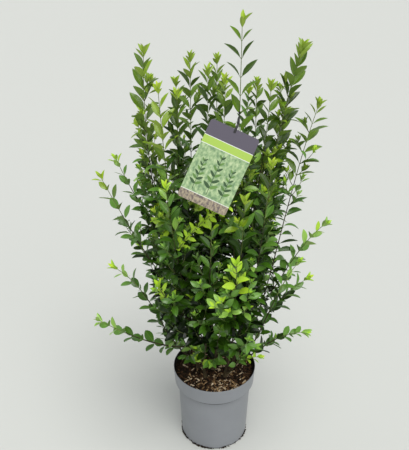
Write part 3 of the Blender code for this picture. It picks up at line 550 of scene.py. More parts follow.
# Dry bark and wood, with fibres of a dark and a light tone
for kind, dark, light in (
    ("bark_crumb", (26, 19, 13), (46, 33, 23)),
    ("bark_brown", (52, 37, 25), (80, 57, 38)),
    ("bark_red", (74, 50, 34), (104, 74, 50)),
    ("wood_chip", (144, 112, 76), (194, 162, 120)),
    ("wood_chip_pale", (206, 180, 144), (238, 218, 188)),
    ("wood_chip_old", (104, 80, 54), (142, 112, 76)),
    ("washed_compost", (30, 24, 18), (58, 48, 38)),
):
    FINISHES[kind] = (((0.36, dark), (0.64, light)), 0.85, 240.0, 600.0, 0.3, 0.0004, 0.2)

# The tag's print from its foot up: the height where each band starts, its plain colour or its mottling
CARD = (226, 230, 220)
PRINT_BANDS = (
    (0.0, None, (26.0, 6.0, ((0.38, (104, 94, 92)), (0.5, (146, 134, 116)), (0.62, (176, 164, 138))))),
    (0.11, CARD, None),
    (0.118, None, (17.0, 8.0, ((0.34, (112, 142, 104)), (0.5, (152, 180, 132)), (0.66, (188, 206, 160))))),
    (0.70, CARD, None),
    (0.708, (168, 200, 86), None),
    (0.80, CARD, None),
    (0.808, (90, 85, 98), None),
)

# Stage: each lamp's place, strength, spread in degrees and colour
FLOOR_HALF = 9.0
FLOOR_COLOUR = (199, 201, 197)
WORLD_COLOUR = (0.95, 0.97, 1.0, 1.0)
WORLD_STRENGTH = 0.45
LAMPS = (
    ("key", (0.20, -0.45, 1.5), 2.05, 42.0, (1.0, 0.99, 0.96)),
    ("fill", (0.45, -1.2, 0.8), 0.85, 60.0, (1.0, 1.0, 0.99)),
    ("back", (-0.4, 1.0, 1.3), 0.35, 60.0, (0.98, 0.99, 1.0)),
)


# Small helpers


def linear(colour):
    """A screen colour of 0 to 255 as the light values that shaders take, opaque."""
    shares = [value / 255.0 for value in colour]
    return (*(s / 12.92 if s <= 0.04045 else ((s + 0.055) / 1.055) ** 2.4 for s in shares), 1.0)


def unit(vector):
    return vector / max(float(np.linalg.norm(vector)), 1e-12)


def squared(vector, heading):
    """The direction nearest to the vector that is square to the heading."""
    return unit(vector - heading * np.dot(vector, heading))


def square_to(heading):
    """Some direction square to the heading."""
    return unit(np.cross(heading, RIGHT if abs(heading[0]) < 0.8 else BACK))


def turned(vector, axis, degrees):
    turn = math.radians(degrees)
    across = np.cross(axis, vector) * math.sin(turn)
    return vector * math.cos(turn) + across + axis * np.dot(axis, vector) * (1.0 - math.cos(turn))


def polar(reach, direction, height):
    turn = math.radians(direction)
    return np.array((reach * math.cos(turn), reach * math.sin(turn), height))


def outside(place):
    """The level direction from the pot's axis to a place."""
    level = np.array((place[0], place[1], 0.0))
    return unit(level) if np.linalg.norm(level) > 0.01 else np.zeros(3)


def height_share(place):
    """From 0 at the compost to 1 at the plant's top."""
    return (place[2] - SOIL_TOP) / (cad_high.z - SOIL_TOP)


def add_object(name, data):
    obj = bpy.data.objects.new(name, data)
    bpy.context.scene.collection.objects.link(obj)
    return obj


# Materials


def add_node(tree, kind, values, links, **settings):
    """A shader node with its settings, the values of its sockets and the links into them."""
    node = tree.nodes.new("ShaderNode" + kind)
    for label, value in settings.items():
        setattr(node, label, value)
    for label, value in values.items():
        node.inputs[label].default_value = value
    for label, source in links.items():
        tree.links.new(source, node.inputs[label])
    return node


def new_material(name, colour, roughness, specular=0.5):
    made = bpy.data.materials.new(name)
    made.use_nodes = True
    inputs = made.node_tree.nodes["Principled BSDF"].inputs
    inputs["Base Color"].default_value = linear(colour)
    inputs["Roughness"].default_value = roughness
    inputs["Specular IOR Level"].default_value = specular
    return made


def mottling(tree, place, scale, detail):
    """A noise at the places given."""
    return add_node(tree, "TexNoise", {"Scale": scale, "Detail": detail}, {"Vector": place}).outputs["Fac"]


def colour_ramp(tree, source, stops):
    """Colours at shares from 0 to 1 of the source."""
    ramp = add_node(tree, "ValToRGB", {}, {"Fac": source})
    elements = ramp.color_ramp.elements
    elements.remove(elements[-1])
    for i, (share, colour) in enumerate(stops):
        element = elements.new(share) if i else elements[0]
        element.position = share
        element.color = linear(colour)
    return ramp.outputs["Color"]


def finish(name):
    """A finish whose colour wanders between stops, with a fine relief, in the piece's own coordinates."""
    stops, roughness, scale, fine_scale, strength, depth, specular, *stretch = FINISHES[name]
    made = new_material(name, stops[0][1], roughness, specular)
    tree = made.node_tree
    place = add_node(tree, "TexCoord", {}, {}).outputs["Object"]
    if stretch:
        place = add_node(tree, "Mapping", {"Scale": stretch[0]}, {"Vector": place}).outputs["Vector"]
    inputs = tree.nodes["Principled BSDF"].inputs
    colours = colour_ramp(tree, mottling(tree, place, scale, MOTTLING_DETAIL), stops)
    tree.links.new(colours, inputs["Base Color"])
    fine = mottling(tree, place, fine_scale, RELIEF_DETAIL)
    relief = add_node(tree, "Bump", {"Strength": strength, "Distance": depth}, {"Height": fine})
    tree.links.new(relief.outputs["Normal"], inputs["Normal"])
    return made


def leaf_materials():
    """Three plain finishes for each leaf colour: the satin upper face, the matt underside and the midrib."""
    made = []
    for kind, (top, under, rib) in LEAF_COLOURS.items():
        roughness = YOUNG_ROUGHNESS if kind.endswith(("lime", "tip")) else LEAF_ROUGHNESS
        gloss = OLD_LEAF_GLOSS.get(kind, LEAF_GLOSS)
        made.append(new_material("leaf_" + kind, top, roughness, gloss))
        made.append(new_material(f"leaf_{kind}_under", under, 0.62, 0.2))
        made.append(new_material(f"leaf_{kind}_rib", rib, 0.50, 0.3))
    return made


# Meshes


def ring(middle, across, beside, reach, sides):
    """Points round a middle. The reach is one radius, or one for each point."""
    turns = np.arange(sides) * 2.0 * math.pi / sides
    return middle + (np.outer(np.cos(turns) * reach, across) + np.outer(np.sin(turns) * reach, beside))


def level_rings(profile, sides):
    """Rings round the pot's axis from the radius and height of each."""
    return [ring((0.0, 0.0, height), RIGHT, BACK, radius, sides) for radius, height in profile]


def ring_faces(count, sides, closed=False):
    """The faces of a tube through rings of points with a cap at each end, or of a hoop where it is closed."""
    faces = []
    for i in range(count if closed else count - 1):
        low, high = i * sides, (i + 1) % count * sides
        for k in range(sides):
            n = (k + 1) % sides
            faces.append((low + k, low + n, high + n, high + k))
    if not closed:
        last = (count - 1) * sides
        faces = [tuple(reversed(range(sides))), *faces, tuple(range(last, last + sides))]
    return faces


def arc(middle, radius, first, last, count):
    """Points on an arc in a plane, with angles in degrees from its first axis."""
    points = []
    for i in range(count + 1):
        turn = math.radians(first + (last - first) * i / count)
        points.append((middle[0] + radius * math.cos(turn), middle[1] + radius * math.sin(turn)))
    return points


def smooth(mesh, sharp):
    mesh.shade_smooth()
    mesh.set_sharp_from_angle(angle=math.radians(sharp))


class Pile:
    """Points and faces of one joined piece, with a material number for each face."""

    def __init__(self):
        self.points = []
        self.faces = []
        self.numbers = []
        self.count = 0

    def add(self, points, faces, numbers):
        self.points.append(np.asarray(points, dtype=float).reshape(-1, 3))
        self.faces.extend(tuple(self.count + i for i in face) for face in faces)
        self.numbers.extend(numbers if hasattr(numbers, "__len__") else [numbers] * len(faces))
        self.count += len(self.points[-1])

    def add_rings(self, rings, numbers, closed=False):
        self.add(np.concatenate(rings), ring_faces(len(rings), len(rings[0]), closed), numbers)

    def add_tube(self, path, alongs, radii, sides, number, green_from, relief=None):
        """A tube along a path, green beyond a share of it."""
        rings = []
        for i, (along, radius) in enumerate(zip(alongs, radii)):
            place, heading = path.at(along)
            across = squared(across, heading) if rings else square_to(heading)
            reach = radius if relief is None else radius * relief[i]
            rings.append(ring(place, across, np.cross(heading, across), reach, sides))
        faces = (len(rings) - 1) * sides + 2
        self.add_rings(rings, [number if i < faces * green_from else GREEN for i in range(faces)])

    def piece(self, name, materials, sharp, slot, *nodes):
        """The object of the pile, which rides on the plant's one body and stands for the nodes named."""
        mesh = bpy.data.meshes.new(name)
        mesh.from_pydata(np.concatenate(self.points).tolist(), [], self.faces)
        for made in materials:
            mesh.materials.append(made)
        mesh.polygons.foreach_set("material_index", np.array(self.numbers, dtype=np.int32))
        smooth(mesh, sharp)
        obj = add_object(name, mesh)
        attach(obj, "root")
        if nodes:
            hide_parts(*nodes)
        return obj


# The skeleton's paths


class Path:
    """A smooth path with the distance of each of its points from the start."""

    def __init__(self, points):
        self.points = np.asarray(points)
        steps = np.linalg.norm(np.diff(self.points, axis=0), axis=1)
        self.total = np.concatenate([[0.0], np.cumsum(steps)])
        self.length = float(self.total[-1])

    def at(self, along):
        """Place and heading at a distance from the start."""
        along = min(max(along, 0.0), self.length)
        place = np.array([np.interp(along, self.total, self.points[:, k]) for k in range(3)])
        i = int(np.clip(np.searchsorted(self.total, along), 1, len(self.points) - 1))
        return place, unit(self.points[i] - self.points[i - 1])

    def at_height(self, height):
        for a, b in zip(self.points, self.points[1:]):
            if b[2] >= height:
                return a + (b - a) * ((height - a[2]) / max(b[2] - a[2], 1e-9))
        return self.points[-1]


def smooth_path(start, tip, spread, lean, pull):
    """Points every few millimetres from start to tip, with the angle from the vertical given at both ends."""
    flat = np.array((tip[0] - start[0], tip[1] - start[1], 0.0))
    outward = unit(flat) if np.linalg.norm(flat) > 1e-6 else RIGHT
    reach = np.linalg.norm(tip - start)

    def heading(degrees):
        turn = math.radians(degrees)
        return outward * math.sin(turn) + UP * math.cos(turn)

    first = start + heading(spread) * reach * pull
    last = tip - heading(lean) * reach * TIP_PULL
    t = np.linspace(0.0, 1.0, max(4, round(reach / PATH_STEP)) + 1)[:, None]
    s = 1.0 - t
    return Path(start * s ** 3 + first * 3 * s * s * t + last * 3 * s * t * t + tip * t ** 3)


class Shoot(namedtuple("Shoot", "name path mass carrier bare start_radius kind")):
    """A shoot's path, its mass of foliage, its bare length, its radius where leaves begin and its kind."""

    def radius(self, along):
        """Radius at a distance from the start, by the same taper as in the solids."""
        if along >= self.bare:
            share = min((along - self.bare) / (self.path.length - self.bare), 1.0)
            return self.start_radius + (TIP_RADIUS - self.start_radius) * share ** TAPER_POWER
        if self.kind != "leader":
            first = BOUGH_RADIUS * FORK_SWELL
            return first + (self.start_radius - first) * along / self.bare
        if along > STEM_LENGTH:
            share = (along - STEM_LENGTH) / (self.bare - STEM_LENGTH)
            return STEM_TOP_RADIUS + (self.start_radius - STEM_TOP_RADIUS) * share
        taper = STEM_FOOT_RADIUS + (STEM_TOP_RADIUS - STEM_FOOT_RADIUS) * along / STEM_LENGTH
        return taper * (1.0 + FLARE * math.exp(-along / FLARE_HEIGHT))


def grow_skeleton():
    """Paths of all shoots. The leaf tips reach the stated height, so the wood ends a little lower."""
    rows = [("leader", name, None, 0.0, *sizes) for name, sizes in LEADERS.items()]
    for kind, table in (("bough", BOUGHS), ("low", LOW_SHOOTS), ("side", SIDE_SHOOTS)):
        rows += [(kind, name, *sizes) for name, sizes in table.items()]
    shoots = {}
    for kind, name, carrier, rise, height, reach, direction, spread, lean in rows:
        if carrier:
            start = shoots[carrier].path.at_height(SOIL_TOP + rise)
            turn = math.radians(lean)
        else:
            start = polar(*FEET[name], SOIL_TOP + GAP)
            turn = 0.0
        reach -= TIP_BEYOND_WOOD * math.sin(turn)
        tip = polar(reach, direction, height - TIP_BEYOND_WOOD * math.cos(turn))
        pull, bare, start_radius = KINDS[kind]
        mass = shoots[carrier].mass if kind == "side" else name
        path = smooth_path(start, tip, spread, lean, pull)
        shoots[name] = Shoot(name, path, mass, carrier, bare, start_radius, kind)
    return shoots


# Bark


def bark_relief(rng, count, sides, step, strength):
    """Shares of the radius round each ring: shallow ridges that wander up the stem, and breathing pores."""
    turns = np.arange(sides) * 2.0 * math.pi / sides
    along = np.arange(count)[:, None] * step
    relief = np.ones((count, sides))
    for waves, length in BARK_RIDGES:
        phase = rng.uniform(0.0, ROUND)
        drift = np.sin(along / length + rng.uniform(0.0, ROUND)) * RIDGE_DRIFT
        relief += strength * np.sin(turns * waves + phase + drift) / waves ** 0.5
    for _ in range(int(count * step / PORE_GAP)):
        middle = rng.uniform(0.0, count * step)
        away = np.abs(turns - rng.uniform(0.0, ROUND))
        away = np.minimum(away, ROUND - away)
        relief += PORE_RISE * np.exp(-((along - middle) / PORE_LENGTH) ** 2 - (away / PORE_HALF) ** 2)
    return relief


def limb(pile, rng, shoot, start, end, bark):
    """One tapering limb with bark relief and a slight swelling at each old leaf joint."""
    sides, step, strength, number, joint_gap, green_from = bark
    count = max(3, int(round((end - start) / step)) + 1)
    alongs = np.linspace(start, end, count)
    radii = np.array([shoot.radius(along) for along in alongs])
    if joint_gap:
        away = alongs % joint_gap - joint_gap / 2.0
        radii *= 1.0 + JOINT_RISE * np.exp(-(away / JOINT_LENGTH) ** 2)
    relief = bark_relief(rng, count, sides, step, strength)
    pile.add_tube(shoot.path, alongs, radii, sides, number, green_from, relief)


def make_wood(shoots, barks):
    """A piece for each stem with the boughs and short forks that it carries."""
    for order, name in enumerate(LEADERS):
        rng = random.Random(WOOD_SEED + order)
        pile = Pile()
        limb(pile, rng, shoots[name], 0.0, shoots[name].bare, STEM_BARK)
        nodes = ["stem_" + name, "bough_" + name]
        for other in shoots.values():
            if other.carrier == name and other.kind != "side":
                limb(pile, rng, other, 0.0, other.bare, FORK_BARK)
                if other.kind == "bough":
                    nodes.append("bough_" + other.name)
        pile.piece("bark_" + name, barks, BARK_SHARP, "stem_bark", *nodes)


# Foliage


def nearest(points):
    """A tree that finds the nearest of the points."""
    tree = KDTree(len(points))
    for i, point in enumerate(points):
        tree.insert(Vector(point), i)
    tree.balance()
    return tree


class Crown:
    """Knows which mass owns a place, so that each keeps to its own space, and where leaves already lie."""

    def __init__(self, shoots):
        owned = {}
        for shoot in shoots.values():
            owned.setdefault(shoot.mass, []).extend(shoot.path.points)
        self.trees = {mass: nearest(points) for mass, points in owned.items()}
        self.all = nearest([point for points in owned.values() for point in points])
        self.taken = {}

    def allows(self, mass, place, overlap):
        """Whether the place is in the mass's space, give or take an overlap with its neighbours."""
        own = self.trees[mass].find(Vector(place))[2]
        if own > CELL_RADIUS or own - self.all.find(Vector(place))[2] > overlap:
            return False
        if any(place[k] < cad_low[k] - BOX_MARGIN or place[k] > cad_high[k] + BOX_MARGIN for k in range(3)):
            return False
        return clear_of_pot(place) and clear_of_tag(place)

    def free(self, place, spacing):
        """Whether no other leaf's middle lies too near, and if so takes the place."""
        cell = tuple(int(math.floor(value / TAKEN_CELL)) for value in place)
        for x, y, z in product((-1, 0, 1), repeat=3):
            for other in self.taken.get((cell[0] + x, cell[1] + y, cell[2] + z), ()):
                if np.linalg.norm(other - place) < spacing:
                    return False
        self.taken.setdefault(cell, []).append(place)
        return True


def clear_of_compost_view(place, spread):
    """The front low down is open, so that the stems' feet and the compost show."""
    beyond = max(abs(place[0] - FRONT_CLEAR_X) - FRONT_CLEAR_HALF, 0.0)
    limit = FRONT_CLEAR_HEIGHT - FRONT_CLEAR_SLOPE * place[1] + spread
    return place[2] > limit - beyond / FRONT_CLEAR_FADE * FRONT_CLEAR_FALL


def clear_of_pot(place):
    level = math.hypot(place[0], place[1])
    if level < POT_RIM_RADIUS - RIM_INSIDE_CLEAR:
        return place[2] > SOIL_TOP + SOIL_CLEAR
    return level > POT_RIM_RADIUS + RIM_OUTSIDE_CLEAR or place[2] > POT_HEIGHT + RIM_OVER_CLEAR


def tag_axes():
    """Across, up and out of the tag's face."""
    tilt = Matrix.Rotation(math.radians(-TAG_LEAN), 3, "X")
    out = tilt @ Vector((0.0, -1.0, 0.0))
    roll = Quaternion(out, math.radians(-TAG_TURN)).to_matrix()
    return np.array(roll @ Vector(RIGHT)), np.array(roll @ tilt @ Vector(UP)), np.array(out)


TAG_ACROSS, TAG_UP, TAG_OUT = tag_axes()


def clear_of_tag(place):
    offset = place - TAG_TOP_CENTRE
    if abs(np.dot(offset, TAG_ACROSS)) > TAG_WIDTH / 2.0 + TAG_CLEAR:
        return True
    if not -TAG_LENGTH - TAG_CLEAR < np.dot(offset, TAG_UP) < TAG_CLEAR:
        return True
    return not -TAG_CLEAR < np.dot(offset, TAG_OUT) < TAG_FRONT_CLEAR


class Mass:
    """One mass of foliage: the leaves and twigs that grow on its shoots by a seeded rule."""

    def __init__(self, name, crown, rng):
        self.name = name
        self.crown = crown
        self.rng = rng
        self.leaves = []
        self.wood = Pile()
        self.hanging = False
        self.change = 1.0

    def add_leaf(self, root, heading, face, length, width, fold, bend, colour):
        """A leaf at root, unless it would leave the mass's space or lie on another."""
        middle = root + heading * length * 0.5
        if not all(self.crown.allows(self.name, p, LEAF_OVERLAP) for p in (middle, root + heading * length)):
            return
        spread = self.rng.uniform(-FRONT_CLEAR_SPREAD, FRONT_CLEAR_SPREAD)
        if not self.hanging and not clear_of_compost_view(middle, spread):
            return
        if self.crown.free(middle, min(LEAF_SPACING, length * 0.3)):
            ladder = LEAF_LADDERS[1 if height_share(middle) > self.change else 0]
            kind = LEAF_KINDS.index(ladder[colour])
            self.leaves.append((root, heading, face, length, width, fold, bend, kind))

    def add_pair(self, place, along, across, habit, scale, angle_scale, colour, radius):
        """Two leaves, opposite each other, that lean away from the shoot by an angle."""
        _, length, width, angle, fold, bend, facing = habit
        rng = self.rng
        loose = LOOSE_START + LOOSE_GAIN * facing
        rise = min(max((along[2] - FLAT_BELOW) / FLAT_RANGE, FLAT_LEAST), 1.0)
        if rise < 1.0:
            beside = unit(np.cross(along, UP))
            beside = beside if np.dot(beside, across) > 0.0 else -beside
            across = unit(across * rise + beside * (1.0 - rise))
        for side in (1.0, -1.0):
            skew = np.cross(along, across) * rng.uniform(-PAIR_SKEW, PAIR_SKEW) * loose
            outward = unit(across * side + skew)
            turn = math.radians((angle + rng.uniform(-ANGLE_SPREAD, ANGLE_SPREAD)) * angle_scale)
            heading = along * math.cos(turn) + outward * math.sin(turn)
            face = along * math.sin(turn) - outward * math.cos(turn) + outside(place) * facing
            face = face + UP * UP_FACING + (UP - BACK * 0.5) * FLAT_FACING * (1.0 - rise)
            face = turned(face, heading, rng.uniform(-ROLL_SPREAD, ROLL_SPREAD) * loose)
            size = length * scale * rng.uniform(1.0 - SIZE_SPREAD, 1.0 + SIZE_SPREAD)
            shape = [part * rng.uniform(*spread) for part, spread in zip((width, fold, bend), SHAPE_SPREADS)]
            self.add_leaf(place + outward * radius * 0.6, heading, face, size, *shape, colour)

    def add_tip(self, place, along, across, size, colour):
        """The soft young leaves that end a shoot, closed up round its bud, yellower inwards."""
        for lift, share, angle, younger in TIP_PAIRS:
            habit = (0.0, size, TIP_WIDTH, angle, *TIP_FOLD_BEND_FACING)
            own = min(colour + younger, YOUNGEST)
            self.add_pair(place + along * size * lift, along, across, habit, share, 1.0, own, TIP_WOOD)
            across = np.cross(along, across)


def leaf_half_width(share, width):
    """Half width as a share of the widest: broad leaves are oval, and narrow ones widest near their foot."""
    shift = np.clip(0.72 + 0.45 * width, 0.80, 1.0)
    return np.maximum(np.sin(math.pi * share ** shift), 0.0) ** np.clip(1.15 - 0.75 * width, 0.72, 0.95)


def leaf_mesh(pile, leaves):
    """Thin closed leaves: a short stalk, a folded blade with a raised midrib, and an underside."""
    root, heading, face = (np.array([leaf[k] for leaf in leaves]) for k in range(3))
    length, width, fold, bend = (np.array([leaf[k] for leaf in leaves])[:, None] for k in range(3, 7))
    heading = heading / np.linalg.norm(heading, axis=1)[:, None]
    side = np.cross(heading, face)
    side /= np.linalg.norm(side, axis=1)[:, None]
    face = np.cross(side, heading)
    turn = np.radians(np.maximum(bend, 0.5))
    rise = np.tan(np.radians(fold))
    columns = []
    for station in LEAF_STATIONS:
        along = heading * np.sin(turn * station) / turn * length
        down = -face * (1.0 - np.cos(turn * station)) / turn * length
        middle = root + along + down
        normal = face * np.cos(turn * station) + heading * np.sin(turn * station)
        share = max((station - PETIOLE_SHARE) / (1.0 - PETIOLE_SHARE), 0.0)
        half = length * np.maximum(width / 2.0 * leaf_half_width(share, width), PETIOLE_HALF)
        rib = length * RIB_HALF * (1.0 - RIB_TAPER * station) * width
        edge = normal * (half - rib) * rise
        lift = normal * length * RIB_LIFT
        under = middle - normal * length * LEAF_THICK * (1.0 - THICK_TAPER * station)
        across = [middle - side * half + edge, middle - side * rib + lift, middle + side * rib + lift]
        columns.append(np.stack([*across, middle + side * half + edge, under], axis=1))
    columns[-1] = middle[:, None, :]
    points = np.concatenate(columns, axis=1)
    tip = 5 * (len(LEAF_STATIONS) - 1)
    faces = ring_faces(len(LEAF_STATIONS) - 1, 5)
    faces[-1:] = [(tip - 5 + k, tip - 5 + (k + 1) % 5, tip) for k in range(5)]
    parts = [1] + [0, 2, 0, 1, 1] * (len(LEAF_STATIONS) - 1)
    for own, leaf in zip(points, leaves):
        pile.add(own, faces, [3 * leaf[7] + part for part in parts])


def depth_of(place):
    """From 0 at the crown's middle to 1 at its outer leaves."""
    swell = math.sin(math.pi * min(max(height_share(place), 0.0), 1.0) ** CROWN_POWER)
    reach = CROWN_FOOT_RADIUS + CROWN_SWELL * swell
    return math.hypot(place[0], place[1]) / reach


def spray_colour(rng, place):
    """The colour number of a spray's grown leaves: lighter at the crown's outside, darker deep in the crown
    and low down, partly for older leaves and partly as painted light and shade.
    """
    height = height_share(place)
    base = np.interp(height, HEIGHTS, SPRAY_BASES)
    base += DEPTH_GAIN * (min(depth_of(place), DEPTH_MOST) - DEPTH_EVEN)
    if rng.random() < BRIGHT_CHANCE:
        base += BRIGHT_GAIN * (1.0 - BRIGHT_FALL * min(height / BRIGHT_FALL_HEIGHT, 1.0))
    return min(float(base) + rng.gauss(0.0, COLOUR_SPREAD), SPRAY_LIGHTEST)


def leaf_colour(rng, spray, left, gain):
    """Towards a spray's tip its leaves are younger and lighter."""
    number = spray + gain * math.exp(-left / YOUNG_LENGTH)
    number += rng.uniform(-LEAF_COLOUR_SPREAD, LEAF_COLOUR_SPREAD)
    return int(min(max(round(number), 0), YOUNGEST))


def size_near_tip(left):
    return min(1.0, TIP_SHARE + left / TIP_SHRINK)


def add_twig(mass, place, along, outward, length, radius, spray, order):
    """A twig from an axil: it leaves at a wide angle, curves up, and bears pairs and a young tip."""
    rng = mass.rng
    first = unit(outward * TWIG_FIRST[0] + along * TWIG_FIRST[1])
    last = unit(outward * TWIG_LAST[0] + along * TWIG_LAST[1] + UP * TWIG_LAST[2])
    last = turned(last, along, rng.uniform(-TWIG_SWAY, TWIG_SWAY))
    count = max(3, int(round(length / TWIG_STEP)))
    points = [place]
    for i in range(count):
        share = (i + 0.5) / count
        points.append(points[-1] + unit(first * (1.0 - share) + last * share) * length / count)
    path = Path(points)
    end = path.at(length)[0]
    if not all(mass.crown.allows(mass.name, p, TWIG_OVERLAP) for p in (path.at(length * 0.5)[0], end)):
        return False
    if not clear_of_compost_view(end, 0.0):
        return False
    alongs = np.linspace(0.0, length, count + 1)
    radii = radius + (TWIG_END_RADIUS - radius) * alongs / length
    mass.wood.add_tube(path, alongs, radii, TWIG_SIDES, 1, TWIG_GREEN_FROM)
    mass.change = rng.uniform(*LADDER_CHANGE)
    habit = HABITS["twig"]
    gap = habit[0] * rng.uniform(*TWIG_GAP_SPREAD)
    across = turned(square_to(first), first, rng.uniform(0.0, 180.0))
    now = gap * 0.8
    node = 0
    while now < length - TWIG_LAST_PAIR:
        spot, heading = path.at(now)
        across = squared(across, heading)
        scale = size_near_tip(length - now + 0.03) * rng.uniform(*TWIG_LEAF_SPREAD)
        colour = leaf_colour(rng, spray, length - now + 0.01, TWIG_YOUNG)
        mass.add_pair(spot, heading, across, habit, scale, 1.0, colour, radius)
        node += 1
        forks = order == 0 and node in SUB_TWIG_NODES and length > SUB_TWIG_FROM
        if forks and rng.random() < SUB_TWIG_CHANCE:
            side = rng.choice((1.0, -1.0))
            add_twig(mass, spot, heading, across * side, SUB_TWIG_LENGTH, radius * SUB_TWIG_THIN, spray, 1)
        across = np.cross(heading, across)
        now += gap
    spot, heading = path.at(length)
    colour = leaf_colour(rng, spray, 0.0, TWIG_YOUNG)
    mass.add_tip(spot, heading, across, TWIG_TIP * rng.uniform(*TWIG_TIP_SPREAD), colour)
    return True


def twig_chance(shoot, share, dense):
    """The chance of a twig in an axil at a share of the leafy length."""
    usual = TWIG_SHARES.get(shoot.name, 1.0)
    if shoot.kind == "low":
        return LOW_TWIG_CHANCE * usual if share < LOW_TWIGS_END else 0.0
    if share < dense:
        return TWIG_CHANCE * usual
    if dense < DENSE_SHARE or share >= TUFT_SHARE:
        return 0.0
    return OWN_TUFT_CHANCES.get(shoot.name, TUFT_CHANCE * usual)


def add_twigs(mass, shoot, place, heading, across, share, tint):
    """Twigs in the two axils of a pair, long where the shoot is dense with them and short tufts beyond."""
    rng = mass.rng
    dense = DENSE_SHARES.get(shoot.name, DENSE_SHARE)
    chance = twig_chance(shoot, share, dense)
    for side in (1.0, -1.0):
        if rng.random() > chance:
            continue
        if share < dense:
            length = TWIG_LONGEST + (TWIG_SHORTEST - TWIG_LONGEST) * (share / dense)
            length *= rng.uniform(*TWIG_SPREAD) * (LOW_TWIG_LENGTH if shoot.kind == "low" else 1.0)
        else:
            length = rng.uniform(*TUFT_LENGTHS)
        spray = LIME_SPRAY if rng.random() < LIME_TWIG_CHANCE else spray_colour(rng, place) + tint
        for part in TWIG_TRIES:
            if add_twig(mass, place, heading, across * side, length * part, TWIG_RADIUS, spray, 0):
                break


def dress_shoot(mass, shoot):
    """Leaf pairs up a shoot, and twigs in their axils."""
    rng, path, name = mass.rng, shoot.path, shoot.name
    habit = OWN_HABITS.get(name, HABITS[shoot.kind])
    lime = LIME_SHOOTS.get(name, 0.0)
    tint = SHOOT_TINTS.get(name, 0.0)
    now = SIDE_FIRST_PAIR if shoot.kind == "side" else shoot.bare + FIRST_PAIR
    heading = path.at(now)[1]
    across = turned(squared(RIGHT, heading), heading, FIRST_PHASE + rng.uniform(-PHASE_SPREAD, PHASE_SPREAD))
    drift = rng.gauss(0.0, SHOOT_DRIFT)
    change = rng.uniform(*LADDER_CHANGE)
    while now < path.length - LAST_PAIR:
        place, heading = path.at(now)
        across = squared(across, heading)
        left = path.length - now
        share = (now - shoot.bare) / (path.length - shoot.bare)
        if share > LEVEL_SHOOTS.get(name, 1.0):
            across = turned(squared(RIGHT, heading), heading, rng.gauss(0.0, LEVEL_SPREAD))
        lower = min(left / SPREAD_LENGTH, 1.0)
        wider = SPREAD_NEAR_TIP + (SPREAD_LOWER - SPREAD_NEAR_TIP) * lower
        angle_scale = 1.0 if shoot.kind == "low" else wider
        bend = habit[5] * (BEND_NEAR_TIP + (BEND_LOWER - BEND_NEAR_TIP) * lower)
        spray = LIME_SPRAY
        if left >= lime:
            usual = float(np.interp(height_share(place), HEIGHTS, SHOOT_BASES)) + drift
            spray = spray_colour(rng, place) * SPRAY_PART + (1.0 - SPRAY_PART) * usual + tint
        colour = leaf_colour(rng, spray, left, 1.0 if lime else SHOOT_YOUNG)
        mass.change = change
        own_habit = (*habit[:5], bend, habit[6])
        scale = size_near_tip(left)
        mass.add_pair(place, heading, across, own_habit, scale, angle_scale, colour, shoot.radius(now))
        add_twigs(mass, shoot, place, heading, across, share, tint)
        across = np.cross(heading, across)
        closer = GAP_AT_TIP + (1.0 - GAP_AT_TIP) * min(left / GAP_SHRINK, 1.0)
        now += habit[0] * rng.uniform(*GAP_SPREAD) * closer
    place, heading = path.at(path.length)
    mass.change = change
    size = TIP_CLUSTER * TIP_SCALES.get(name, 1.05)
    mass.add_tip(place, heading, across, size, 5 if rng.random() < TIP_YELLOW_CHANCE else 4)


def add_low_spray(mass, shoot, rise, tip, leaf_length, spray):
    """A short spray from a shoot to its tip over the compost."""
    rng = mass.rng
    start = shoot.path.at_height(SOIL_TOP + rise)
    end = np.array(tip)
    middle = (start + end) / 2.0 + UP * np.linalg.norm(end - start) * LOW_SPRAY_ARCH
    t = np.linspace(0.0, 1.0, LOW_SPRAY_STEPS)[:, None]
    path = Path(start * (1 - t) ** 2 + middle * 2 * t * (1 - t) + end * t ** 2)
    radii = np.linspace(TWIG_RADIUS, TWIG_END_RADIUS, LOW_SPRAY_STEPS)
    mass.wood.add_tube(path, np.linspace(0.0, path.length, LOW_SPRAY_STEPS), radii, TWIG_SIDES, GREEN, 0.0)
    mass.hanging = True
    mass.change = 1.0
    across = unit(np.cross(path.at(0.0)[1], UP))
    habit = (0.0, leaf_length, *LOW_SPRAY_SHAPE)
    now = LOW_SPRAY_FIRST_PAIR
    while now < path.length - LOW_SPRAY_LAST_PAIR:
        spot, heading = path.at(now)
        across = squared(across, heading)
        colour = leaf_colour(rng, spray, path.length - now, LOW_SPRAY_YOUNG)
        mass.add_pair(spot, heading, across, habit, 1.0, 1.0, colour, TWIG_RADIUS)
        across = np.cross(heading, across)
        now += leaf_length * LOW_SPRAY_GAP
    spot, heading = path.at(path.length)
    colour = leaf_colour(rng, spray, 0.0, LOW_SPRAY_TIP_YOUNG)
    mass.add_tip(spot, heading, across, leaf_length * LOW_SPRAY_TIP, colour)
    mass.hanging = False


def make_masses(shoots, barks):
    """A piece of leaves and a piece of twigs for each mass, grown on its shoots."""
    finishes = leaf_materials()
    crown = Crown(shoots)
    for order, name in enumerate(n for n, s in shoots.items() if s.mass == n):
        mass = Mass(name, crown, random.Random(SEED + order))
        members = [shoot for shoot in shoots.values() if shoot.mass == name]
        for shoot in members:
            limb(mass.wood, mass.rng, shoot, shoot.bare, shoot.path.length, SHOOT_BARK)
        for owner, carrier, *spray in LOW_SPRAYS:
            if owner == name:
                add_low_spray(mass, shoots[carrier], *spray)
        for shoot in members:
            dress_shoot(mass, shoot)
        leaves = Pile()
        leaf_mesh(leaves, mass.leaves)
        leaves.piece("leaves_" + name, finishes, LEAF_SHARP, "foliage", "foliage_" + name)
        mass.wood.piece("twigs_" + name, barks, BARK_SHARP, "foliage", "foliage_" + name)


# Pot


def pot_radius(height):
    """Outer radius of the wall under the stacking band."""
    return POT_FOOT_RADIUS + (POT_WALL_TOP_RADIUS - POT_FOOT_RADIUS) * height / WALL_TOP


